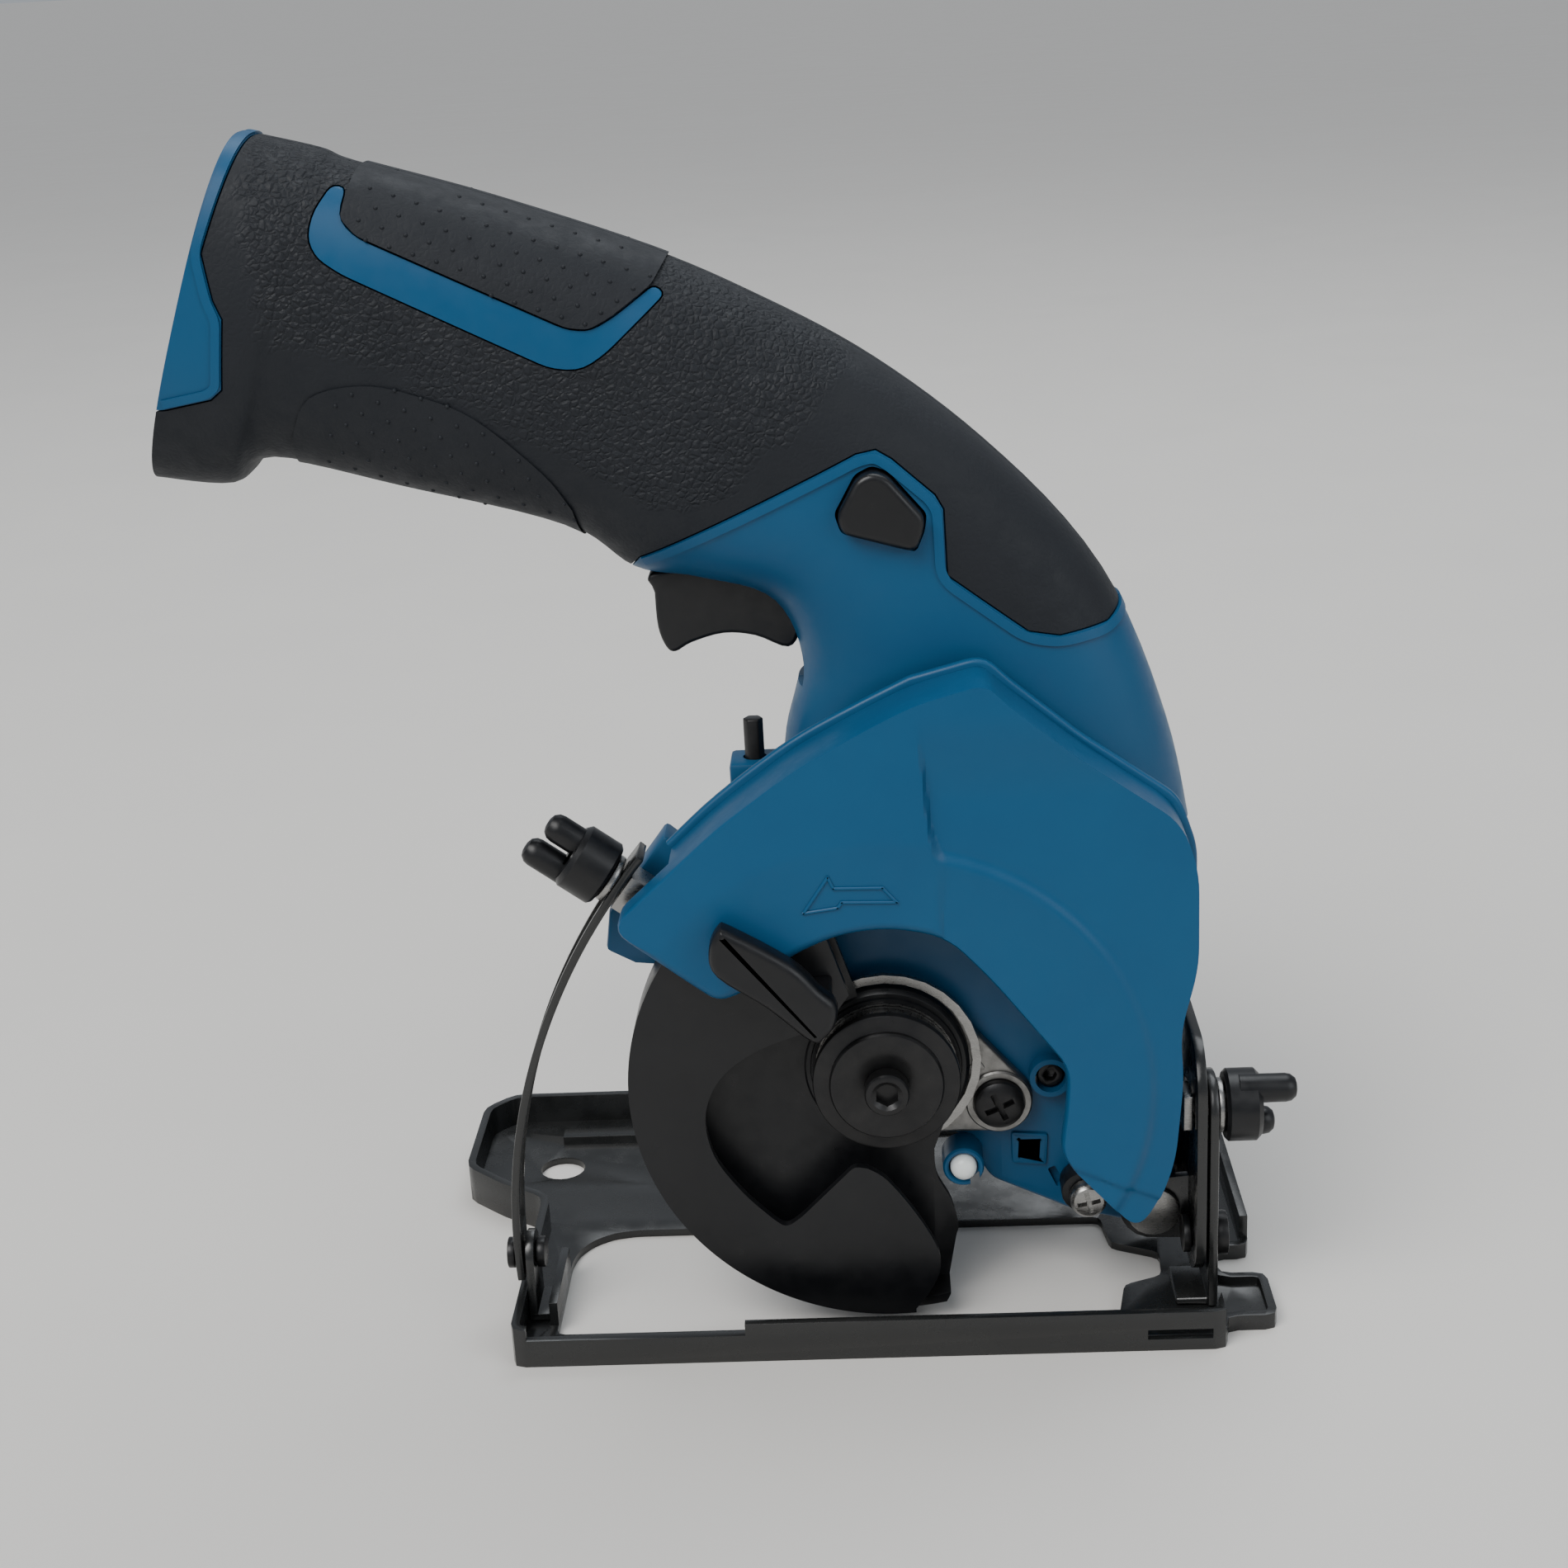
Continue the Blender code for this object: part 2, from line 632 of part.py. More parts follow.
def cover_rim():
    """The outer edge of the blade cover, from its rear corner over the top and down the front."""
    return [
        (-48.2, 85.8),
        (-38.5, 94.5),
        (-28.0, 104.0),
        (-14.5, 113.8),
        (-3.0, 120.0),
        (7.0, 124.8),
        (19.5, 128.0),
        (23.2, 124.2),
        (36.0, 113.3),
        (53.2, 101.0),
        (56.2, 92.0),
        (56.2, 74.0),
        (52.9, 61.5),
        (53.6, 52.5),
        (52.2, 36.0),
        (49.6, 28.0),
        (45.4, 21.5),
    ]


def cover_mouth():
    """The lower edge of the cover's face, from the front tip round the hub to the rear corner."""
    lower = [(33.5, 34.8), (31.3, 38.8), (32.6, 49.5), (32.7, 55.8), (19.1, 73.7), (11.5, 82.0)]
    return lower + [(1.9, 84.2), (-7.2, 83.4), (-16.3, 79.4), (-25.0, 72.6), (-29.5, 71.0), (-34.5, 74.8)]


def make_cover():
    outline = cover_rim() + cover_mouth()
    outline.reverse()
    cover = prism("blade_cover", outline, COVER_FACE_Y, COVER_BACK_Y, "y", "teal_plastic")
    bevel(cover, 1.2, 1)
    ring = list(reversed(cover_rim()))
    inner = inset(ring + [(-20, 20)], COVER_T)[: len(ring)]
    inner[0] = (inner[0][0] - 2, inner[0][1] - 6)
    inner[-1] = (inner[-1][0] - 8, inner[-1][1] - 7)
    room = inner + [(-62, 60), (-30, 20), (20, 10)]
    notch_inner = radial(GUIDE_R - 9, CLAMP_ANGLE + 5)
    notch = [
        notch_inner,
        radial(GUIDE_R + 6, CLAMP_ANGLE + 5),
        radial(GUIDE_R + 6, CLAMP_ANGLE - 5.2),
        radial(GUIDE_R - 9, CLAMP_ANGLE - 5.2),
    ]
    cut(
        cover,
        prism("cut_cover_room", room, COVER_FACE_Y + COVER_T, COVER_BACK_Y + 3, "y"),
        prism("cut_cover_notch", notch, 1.5, COVER_BACK_Y + 3, "y"),
    )


def make_bearing_retainer():
    outline = hull_of_circles(ARBOR, 16.0, RETAINER_SCREW, 6.4)
    plate = prism("bearing_retainer", outline, *RETAINER_PLATE_Y, "y", "cast_aluminium")
    boss = cylinder("add_retainer_boss", RETAINER_BOSS_R, ARBOR, 7.9, RETAINER_PLATE_Y[0] + 1, sides=32)
    join(plate, boss)
    cut(
        plate,
        cylinder("cut_retainer_bore", SPINDLE_R + FIT, ARBOR, 5, 20, sides=24),
        cylinder("cut_retainer_hole", 2.6, RETAINER_SCREW, 5, 20, sides=16),
    )
    seat = RETAINER_PLATE_Y[0]
    screw = cylinder("retainer_screw", 2.2, RETAINER_SCREW, seat - 1, 22.5, slot="black_steel", sides=16)
    join(screw, cylinder("add_retainer_screw_head", 4.8, RETAINER_SCREW, seat - 3.0, seat - GAP, sides=24))
    ring = [(GUARD_BORE_R - 0.1, 8.6), (13.3, 8.6), (13.3, 8.1), (GUARD_BORE_R - 0.1, 8.1)]
    turned("guard_snap_ring", list(reversed(ring)), ARBOR, "bright_steel", 28)
    coil = (GUARD_HUB_R + 0.6, GUARD_HUB_R + 2.2)
    spring = [(coil[0], 10.9), (coil[1], 10.9), (coil[1], 12.1), (coil[0], 12.1)]
    turned("guard_spring", spring, ARBOR, "bright_steel", 28)


def make_lamp():
    holder = cylinder("lamp_holder", 3.9, LAMP, 8.3, BODY_NEAR_Y - GAP, slot="teal_plastic", sides=20)
    cut(holder, cylinder("cut_lamp_holder", 2.8, LAMP, 5, 13.5, sides=16))
    lens = cylinder("lamp_lens", 2.5, LAMP, 6.8, 13.2, slot="white_lens", sides=16)
    bevel(lens, 0.8, 2)


def make_lower_screw():
    """The bright cross-recess screw and its black washer by the front lug."""
    x, z = LOWER_SCREW
    seat = (9.6, BODY_NEAR_Y - GAP)
    washer = cylinder("lower_washer", 4.1, (x - 0.8, z + 0.5), *seat, slot="black_plastic", sides=20)
    cut(washer, cylinder("cut_lower_washer", 2.0, LOWER_SCREW, 5, 20, sides=14))
    screw = cylinder("lower_screw", 1.7, LOWER_SCREW, 8.5, 24, slot="bright_steel", sides=14)
    join(screw, cylinder("add_lower_screw_head", 3.5, LOWER_SCREW, 6.2, seat[0] - GAP, sides=20))


def lower_outline(hub_r):
    """The side outline of the lower body, anticlockwise from the depth lug, for a hub of this radius."""
    outline = arc(PIVOT, LUG_R, 235, 350, 6)
    outline += [(54.2, 26), (54.2, 50), (56.4, 62), (58.0, 88), (30, 98), (-10, 100)]
    outline += [(-17.5, 96), (-17, 84), (-15.5, 66)]
    outline += arc(ARBOR, hub_r, 165, 300, 10)
    outline += [(15.0, 31.0), (19.2, 22.9), (34.9, 15.3)]
    return outline


def body_sections(reduce, stretch):
    """Rows of (centre x, centre z, lean, half height, half width) from the battery end to the lower body."""
    keys = [
        (-116.7, 193.2, 70.3, 32.0, HANDLE_HALF_W + 0.8),
        (-103.4, 190.6, 70.4, 30.6, HANDLE_HALF_W + 0.6),
        (-96.5, 191.5, 70.0, 27.0, HANDLE_HALF_W),
        (-73.5, 184.9, 70.5, 26.4, HANDLE_HALF_W - 0.3),
        (-45.3, 175.6, 69.3, 25.4, HANDLE_HALF_W - 0.5),
        (-29.3, 166.5, 60.6, 26.6, HANDLE_HALF_W),
        (-14.0, 159.6, 47.7, 25.2, HANDLE_HALF_W),
        (2.3, 149.4, 34.0, 23.8, HANDLE_HALF_W),
        (14.9, 131.2, 14.4, 29.0, HANDLE_HALF_W),
        (19.0, 109.8, 0.4, 35.5, HANDLE_HALF_W),
        (20.3, 94.0, -4.5, 38.4, HANDLE_HALF_W),
    ]
    rows = catmull(keys, 2)
    if stretch:
        x, z, lean, high, wide = keys[0]
        rows.insert(0, (x - stretch * 0.94, z + stretch * 0.342, lean, high, wide))
        x, z, lean, high, wide = keys[-1]
        rows.append((x, z - 2, lean, high, wide))
    return [(x, z, lean, high - reduce, wide - reduce) for x, z, lean, high, wide in rows]


def loft(name, rows, slot=None, sides=20, power=2.6):
    """A skin through rounded sections, closed at both ends."""
    shape = bmesh.new()
    rings = []
    for x, z, lean, high, wide in rows:
        up = Vector((math.cos(math.radians(lean)), 0, math.sin(math.radians(lean))))
        ring = []
        for i in range(sides):
            turn = 2 * math.pi * (i + 0.5) / sides
            c, s = math.cos(turn), math.sin(turn)
            a = math.copysign(abs(c) ** (2 / power), c) * high
            b = math.copysign(abs(s) ** (2 / power), s) * wide
            spot = Vector((x, BODY_MID_Y + b, z)) + up * a
            ring.append(shape.verts.new(spot * MM))
        rings.append(ring)
    for first, second in zip(rings, rings[1:]):
        for i in range(sides):
            j = (i + 1) % sides
            shape.faces.new((first[i], first[j], second[j], second[i]))
    shape.faces.new(rings[0])
    shape.faces.new(rings[-1])
    return mesh_object(name, shape, slot)


def grip_region():
    """The side outline of the zone that the soft grip covers."""
    front = [(46.6, 133.9), (42.8, 131.5), (33.8, 130.5), (28.1, 131.8), (13.9, 142.8), (13.6, 154.5)]
    front += [(12.2, 157.0), (4.9, 163.6), (2.2, 165.3), (-1.2, 164.8), (-40.3, 147.0)]
    below = [(-46, 140), (-60, 140), (-140, 150), (-140, 178)]
    rear = [(-120.5, 178.0), (-112.1, 179.5), (-110.0, 181.1), (-108.3, 193.1), (-109.5, 196.3)]
    return front + below + rear + [(-113.7, 204.3), (-97.5, 232), (-40, 230), (60, 180), (60, 140)]


def accent_outline():
    """The U-shaped band of housing that shows through the grip."""
    outer = [(-88.5, 213.8), (-91.5, 209.6), (-92.4, 205.6), (-91.2, 202.6), (-87.6, 199.8)]
    outer += [(-52.9, 182.1), (-47.8, 181.6), (-43.6, 184.0), (-33.0, 193.2)]
    inner = [(-34.8, 194.6), (-41.9, 189.8), (-45.9, 187.9), (-49.8, 188.4)]
    return outer + inner + [(-84.6, 205.4), (-87.4, 208.6), (-86.3, 213.2)]


def make_body():
    """Both housing halves and their soft grips, cut from one skin."""
    outlines = {"right": lower_outline(BODY_HUB_R), "left": lower_outline(BODY_FAR_HUB_R)}
    skin = bake(loft("add_skin", body_sections(0, 0)))
    hollow = loft("cut_hollow", body_sections(SKIN_T + BODY_WALL + GAP, 12))
    under_grip = loft("cut_under_grip", body_sections(SKIN_T + GAP, 12))
    region = prism("cut_grip_region", inset(grip_region()[::-1], GAP), -10, 80)
    shell = cut(prism("cut_grip_shell", grip_region(), -10, 80), under_grip)
    trigger_room = prism("cut_trigger_room", trigger_outline(), TRIGGER_Y[0] - FIT, TRIGGER_Y[1] + FIT)
    lock_room = prism("cut_lock_room", inset(lock_outline(), -FIT), -10, 80)
    notch_outline = [(-140, 197.5), (-119.7, 196.2), (-119.4, 193.7), (-121.0, 181.5), (-140, 178.5)]
    notch = prism("cut_bay_notch", notch_outline, -10, 80)
    sides = {
        "right": (-10, BODY_MID_Y - GAP / 2),
        "left": (BODY_MID_Y + GAP / 2, 90),
    }
    for side, (low, high) in sides.items():
        half = box(f"keep_{side}", (-150, low, 0), (90, high, 240))
        lower = outlines[side]
        housing = prism(f"housing_{side}", lower, BODY_NEAR_Y, BODY_FAR_Y, slot="teal_plastic")
        join(housing, skin)
        if side == "left":
            barrel = cylinder("add_barrel", BARREL_R, MOTOR_SHAFT, BODY_MID_Y, BARREL_FAR_Y, sides=40)
            rim = cylinder("add_hub_rim", BODY_HUB_R, ARBOR, BODY_MID_Y - 1, BODY_HUB_RIM_Y, sides=30)
            join(housing, barrel, rim)
        keep(housing, half)
        room_y = (BODY_NEAR_Y + BODY_WALL, BODY_FAR_Y - BODY_WALL)
        room = prism(f"cut_lower_room_{side}", inset(lower, BODY_WALL), *room_y)
        cut(housing, hollow, room, shell)
        if side == "left":
            barrel_y = (BODY_MID_Y - 1, BARREL_FAR_Y + 3)
            cut(
                housing,
                cylinder("cut_barrel_room", MOTOR_R + 0.5, MOTOR_SHAFT, *barrel_y, sides=40),
                box("cut_far_lug", (38, BODY_MID_Y - 1, 0), (70, 60, 33)),
                cylinder("cut_shaft_lock", 3.2, SHAFT_LOCK, 40, 60, sides=16),
            )
            for i, spot in enumerate(CASE_SCREWS):
                cut(housing, cylinder(f"cut_case_screw_{i}", 1.5, spot, 44, 56, sides=12))
        else:
            arm = prism("add_clamp_arm", clamp_arm_outline(), BODY_NEAR_Y, BODY_NEAR_Y + 8)
            boss = cylinder("add_case_boss", CASE_BOSS_R, CASE_BOSS, 12.4, BODY_NEAR_Y + 1, sides=20)
            nest = box(
                "add_key_holder",
                (KEY_X - KEY_R - 2.7, KEY_Y - KEY_R - 2.7, KEY_HOLDER_Z[0]),
                (-17.2, KEY_Y + KEY_R + 2.7, KEY_HOLDER_Z[1]),
            )
            join(housing, arm, boss, nest)
            key_cut = (KEY_HOLDER_Z[0] - 5, KEY_HOLDER_Z[1] + 5)
            cut(
                housing,
                cylinder("cut_case_boss", 2.9, CASE_BOSS, 10, BODY_NEAR_Y + 8, sides=16),
                cylinder("cut_spindle_hole", 11.9, ARBOR, BODY_NEAR_Y - 2, BODY_NEAR_Y + 3, sides=24),
                cylinder("cut_retainer_screw_hole", 2.6, RETAINER_SCREW, 10, BODY_NEAR_Y + 4, sides=16),
                cylinder("cut_lower_screw_hole", 2.0, LOWER_SCREW, 10, BODY_NEAR_Y + 4, sides=16),
                cylinder("cut_key_bore", KEY_R + GAP, (KEY_X, KEY_Y), *key_cut, "z", sides=12),
            )
        cut(housing, cylinder(f"cut_lug_bore_{side}", PIVOT_R + FIT, PIVOT, 5, 60, sides=20))
        cut(housing, trigger_room, lock_room, notch)
        grip = place(bpy.data.objects.new(f"grip_{side}", skin.data.copy()), "black_elastomer")
        cut(grip, loft(f"cut_grip_inside_{side}", body_sections(SKIN_T, 12)))
        keep(grip, region)
        accent = prism(f"accent_{side}", accent_outline(), -10, 80, slot="teal_plastic")
        band = prism(f"cut_accent_{side}", inset(accent_outline(), -GAP), -10, 80)
        cut(grip, band, trigger_room, lock_room)
        keep(grip, half)
        keep(accent, skin)
        cut(accent, loft(f"cut_accent_inside_{side}", body_sections(SKIN_T, 12)))
        keep(accent, half)


def clamp_arm_outline():
    """The housing's arm behind the depth guide, in polar steps about the depth pivot."""
    inner, outer = 96.0, GUIDE_R - 2.5
    return [
        radial(inner, 138.5),
        radial(outer, 138.5),
        radial(outer, 147.5),
        radial(outer - 3, 151.0),
        radial(outer - 9, 151.0),
        radial(80, 141.5),
        radial(80, 133.0),
    ][::-1]


# ---------------------------------------------------------------- lower guard


def guard_back_outline():
    """The guard's back wall: from its leading edge round the bottom and rear to its trailing edge."""
    outline = arc(ARBOR, GUARD_R, -78, -252, 30)
    outline += [polar(ARBOR, 15.0, 108), polar(ARBOR, 15.0, 60), polar(ARBOR, 15.0, 0)]
    return outline + [(8.5, 33.0), (8.8, 27.5), (11.4, 22.0), (12.1, 13.8)]


def guard_window():
    """What is cut from the guard's outer wall: everything inside its crescent."""
    inner = [(-10.7, 63.3), (-22.2, 59.5), (-30.0, 54.0), (-33.5, 46.5), (-32.5, 37.9), (-27.6, 30.0)]
    inner += [(-21.0, 23.6), (-17.8, 24.4), (-5.1, 34.4), (-0.6, 31.6), (4.5, 24.5), (8.2, 17.4)]
    inner += [(8.8, 12.9), (7.2, 8.5), (4.0, 4.0)]
    around = [(4.0, -10), (80, -10), (80, 130), polar(ARBOR, 70, 108), polar(ARBOR, 20, 108)]
    return rounded(inner + around, 2.0, 2)


def make_lower_guard():
    guard = prism("lower_guard", guard_back_outline(), 0, GUARD_DEPTH, "y", "black_plastic")
    ring = cylinder("add_guard_ring", GUARD_HUB_R, ARBOR, GUARD_BACK_Y - 0.3, GUARD_HUB_BACK_Y, sides=32)
    cut(guard, cylinder("cut_guard_room", GUARD_R - GUARD_T, ARBOR, GUARD_T, GUARD_BACK_Y, sides=60))
    cut(guard, prism("cut_guard_window", guard_window(), -3, GUARD_T + 0.4))
    join(guard, ring)
    cut(guard, cylinder("cut_guard_bore", GUARD_BORE_R, ARBOR, 2, 20, sides=32))
    outline = [(-28.4, 87.4), (-26.1, 87.0), (-15.7, 80.4), (-11.1, 75.4), (-8.3, 72.5), (-8.5, 68.8)]
    outline += [(-10.5, 66.2), (-13.0, 65.4), (-20.5, 72.2), (-29.0, 78.5), (-30.2, 83.4)]
    outline = rounded(outline, 1.5, 2)
    lever = prism("guard_lever", outline, LEVER_FACE_Y, COVER_FACE_Y - 0.8, "y", "black_plastic", 0.9)
    foot = [(-16.6, 73.2), (-9.0, 73.6), (-9.2, 69.0), (-12.9, 66.2), (-18.6, 70.6)]
    join(lever, prism("add_lever_foot", rounded(foot, 1.0, 2)[::-1], COVER_FACE_Y - 2, -GAP))


# ---------------------------------------------------------------- spindle and gears


def gear_outline(centre, teeth, phase):
    """Straight-flanked teeth, with one tooth centred on the phase direction."""
    pitch = MODULE * teeth / 2
    outline = []
    step = 360 / teeth
    for i in range(teeth):
        middle = phase + i * step
        for radius, width in (
            (pitch - 1.1 * MODULE, 0.33),
            (pitch + 0.75 * MODULE, 0.10),
        ):
            outline.append(polar(centre, radius, middle - width * step))
        for radius, width in (
            (pitch + 0.75 * MODULE, 0.10),
            (pitch - 1.1 * MODULE, 0.33),
        ):
            outline.append(polar(centre, radius, middle + width * step))
    return outline


def make_gear(name, centre, teeth, phase, along, bore, slot="bright_steel"):
    gear = prism(name, gear_outline(centre, teeth, phase), *along, "y", slot)
    cut(gear, cylinder(f"cut_{name}", bore, centre, along[0] - 2, along[1] + 2, sides=20))
    return gear


def make_spindle():
    bore = 2.8
    step = [(bore, FLANGE_FACE_Y), (FLANGE_STEP_R, FLANGE_FACE_Y), (FLANGE_STEP_R, FLANGE_RIM_Y)]
    rim = [(FLANGE_R - 0.5, FLANGE_RIM_Y), (FLANGE_R, FLANGE_RIM_Y + 0.5), (FLANGE_R, FLANGE_BACK_Y)]
    rim += [(bore, FLANGE_BACK_Y)]
    turned("outer_flange", step + rim, ARBOR, "black_steel", 36)
    seat = FLANGE_BACK_Y + KERF_GAP
    pilot_r = BLADE_BORE_R - 0.05
    pilot = [(bore, seat - KERF_GAP + GAP), (pilot_r, seat - KERF_GAP + GAP), (pilot_r, seat)]
    inner = [(13.0, seat), (13.0, seat + 2.6), (bore, seat + 2.6)]
    turned("inner_flange", pilot + inner, ARBOR, "bright_steel", 32)
    under = FLANGE_FACE_Y - 0.2
    top = under - BOLT_HEAD_H
    bolt = cylinder("blade_bolt", BOLT_HEAD_R, ARBOR, top, under, slot="black_steel", sides=28)
    join(bolt, cylinder("add_blade_bolt_shank", 2.5, ARBOR, under - 1, seat + 2.5, sides=16))
    socket = [polar(ARBOR, 2.3, 30 + 60 * i) for i in range(6)]
    cut(bolt, prism("cut_blade_bolt_socket", socket, under - BOLT_HEAD_H - 2, under - 1.2))
    shaft_y = (seat + 2.9, STEP_GEAR_Y[0] - 0.6)
    spindle = cylinder("spindle", SPINDLE_R, ARBOR, *shaft_y, slot="bright_steel", sides=28)
    bevel(spindle, 0.4, 1)
    make_gear("final_gear", ARBOR, FINAL_TEETH, STEP_DIRECTION, GEAR_Y, SPINDLE_R + GAP)


def make_gear_train():
    """The stepped gear between the motor pinion and the final gear, in one piece with its shaft."""
    phase = STEP_DIRECTION + 180 + 180 / STEP_PINION_TEETH
    wheel = gear_outline(STEP_SHAFT, STEP_GEAR_TEETH, MOTOR_DIRECTION)
    step = prism("step_gear", wheel, *STEP_GEAR_Y, "y", "bright_steel")
    teeth = gear_outline(STEP_SHAFT, STEP_PINION_TEETH, phase)
    join(step, prism("add_step_pinion", teeth, GEAR_Y[0], STEP_GEAR_Y[0] + 0.5))
    join(step, cylinder("add_step_shaft", 1.5, STEP_SHAFT, 19.0, GEAR_PLATE_Y[1] - 0.9, sides=14))
    turn = MOTOR_DIRECTION + 180 + 180 / MOTOR_PINION_TEETH
    make_gear("motor_pinion", MOTOR_SHAFT, MOTOR_PINION_TEETH, turn, STEP_GEAR_Y, 1.45)


def bearing(name, centre, inner, outer, low, high):
    ring = [(inner, low), (outer, low), (outer, high), (inner, high)]
    turned(name, ring, centre, "bright_steel", 24)


def make_gear_case():
    """The cast case and the inner plate that hold the bearings, inside the housing halves."""
    outline = hull_of_circles(ARBOR, 13.8, MOTOR_SHAFT, 9.5)
    low, high = GEAR_CASE_Y
    case = prism("gear_case", outline, low, high, "y", "cast_aluminium")
    cut(
        case,
        cylinder("cut_case_bearing", 11.0 + GAP, ARBOR, low - 2, high - 1.2, sides=28),
        cylinder("cut_case_spindle", SPINDLE_R + 1.2, ARBOR, low - 2, high + 2, sides=24),
        cylinder("cut_case_shaft", 1.5 + GAP, STEP_SHAFT, 18.6, high + 2, sides=14),
    )
    bearing("spindle_bearing", ARBOR, SPINDLE_R + GAP, 11.0, low + 0.2, high - 1.6)
    low, high = GEAR_PLATE_Y
    plate_outline = hull_of_circles(STEP_SHAFT, 6.0, MOTOR_SHAFT, 11.0)
    plate = prism("gear_plate", plate_outline, low, high, "y", "cast_aluminium")
    cut(
        plate,
        cylinder("cut_plate_shaft", 1.5 + GAP, STEP_SHAFT, low - 2, high - 0.4, sides=14),
        cylinder("cut_plate_bearing", 1.2 + FIT, MOTOR_SHAFT, low - 2, high + 2, sides=20),
    )


# ---------------------------------------------------------------- motor


def make_motor():
    low, high = CAN_Y
    wall = 1.6
    cup = [(5.0, low), (MOTOR_R, low), (MOTOR_R, high), (MOTOR_R - wall, high), (MOTOR_R - wall, low + wall)]
    can = turned("motor_can", cup + [(5.0, low + wall)], MOTOR_SHAFT, "bright_steel", 32)
    for i, start in enumerate((20, 200)):
        outline = arc(MOTOR_SHAFT, MOTOR_R - wall / 2, start, start + 140, 10)
        outline += arc(MOTOR_SHAFT, 12.6, start + 140, start, 10)
        join(can, prism(f"add_magnet_{i + 1}", outline, low + 4, high - 8))
    shaft = [(1.2, STEP_GEAR_Y[0] - 0.4), (1.2, low + 1), (2.2, low + 1), (2.2, low + 6), (11.9, low + 6)]
    shaft += [(11.9, high - 12), (5.4, high - 12), (5.4, high - 1.5), (1.5, high - 1.5)]
    shaft += [(1.5, BARREL_FAR_Y - 1.6)]
    profile = [(0, shaft[0][1])] + shaft + [(0, shaft[-1][1])]
    turned("armature", profile, MOTOR_SHAFT, "copper", 24)
    x, z = MOTOR_SHAFT
    fan = cylinder("cooling_fan", 4.6, MOTOR_SHAFT, high + 0.6, high + 5.6, slot="black_plastic", sides=20)
    for i in range(7):
        turn = Matrix.Rotation(math.radians(i * 360 / 7), 4, "Y")
        vane = box(f"add_vane_{i}", (3.5, high + 0.6, -0.5), (15.0, high + 5.6, 0.5))
        vane.data.transform(Matrix.Translation((x * MM, 0, z * MM)) @ turn)
        join(fan, vane)
    cut(fan, cylinder("cut_fan_bore", 1.5 + GAP, MOTOR_SHAFT, high - 3, high + 8, sides=14))
    low = BARREL_FAR_Y + GAP
    cap = cylinder("motor_cap", BARREL_R, MOTOR_SHAFT, low, low + 3.0, slot="black_plastic", sides=40)
    bevel(cap, 1.0, 1)
    seat = cylinder("add_cap_seat", MOTOR_R - 0.4, MOTOR_SHAFT, low - 2.0, low + 1, sides=32)
    join(cap, seat)
    vents = []
    for i in range(5):
        dz = (i - 2) * 5.2
        half = math.sqrt((MOTOR_R - 4.5) ** 2 - dz**2)
        corners = (x - half, low - 6, z + dz - 1.1), (x + half, low + 6, z + dz + 1.1)
        vents.append(box(f"cut_vent_{i}", *corners))
    vents[2].data.transform(Matrix.Translation((-6.0 * MM, 0, 0)))
    cut(cap, *vents[:2], *vents[3:])
    cut(cap, cylinder("cut_cap_bearing", 1.5 + GAP, MOTOR_SHAFT, low - 6, low + 0.6, sides=14))


# ---------------------------------------------------------------- handle fittings


def trigger_outline():
    """The side outline of the space the trigger moves in."""
    return [(-45, 120), (-9.0, 120), (-9.0, 141.5), (-17.5, 147.5), (-31.0, 152.5), (-42.2, 150.2)]


def lock_outline():
    low = [(-5.0, 154.7), (-4.0, 151.5), (8.5, 147.8), (9.9, 151.0)]
    return low + [(10.4, 153.8), (4.1, 161.3), (1.4, 162.4), (-1.3, 161.2)]


def make_trigger():
    pull = [(-38.9, 142.5), (-38.9, 138.7), (-38.7, 132.2), (-37.4, 128.3), (-35.7, 127.4), (-32.6, 129.0)]
    pull += [(-26.7, 130.5), (-20.9, 129.8), (-15.0, 127.4), (-12.6, 131.0), (-12.4, 138.0)]
    pull += [(-14.5, 141.0), (-22, 143.5)]
    prism("trigger", pull, *TRIGGER_Y, "y", "black_plastic", 1.0)


def make_lock_button():
    near = BODY_MID_Y - HANDLE_HALF_W - LOCK_REACH
    far = BODY_MID_Y + HANDLE_HALF_W + LOCK_REACH
    prism("lock_button", lock_outline(), near, far, "y", "black_plastic", 1.0)


def oriented_box(name, centre, size, lean, slot=None):
    """A box centred at (x, y, z), its long way along the handle."""
    shape = bmesh.new()
    bmesh.ops.create_cube(shape, size=1.0)
    turn = Matrix.Rotation(math.radians(lean), 4, "Y")
    spot = Matrix.Translation(Vector(centre) * MM)
    shape.transform(spot @ turn @ Matrix.Diagonal((*(Vector(size) * MM), 1)))
    return mesh_object(name, shape, slot)


def make_electrics():
    lean = 20.0
    oriented_box("terminal_block", (-62.0, BODY_MID_Y, 181.2), (7, 19, 28), lean, "black_plastic")
    for i, offset in enumerate((-7.0, 7.0)):
        centre = (-71.6, BODY_MID_Y + offset, 184.6)
        oriented_box(f"terminal_{i + 1}", centre, (12, 0.8, 8), lean, "copper")
    oriented_box("switch_unit", (-27.0, BODY_MID_Y, 165.5), (22, 15, 17), 42.0, "black_plastic")


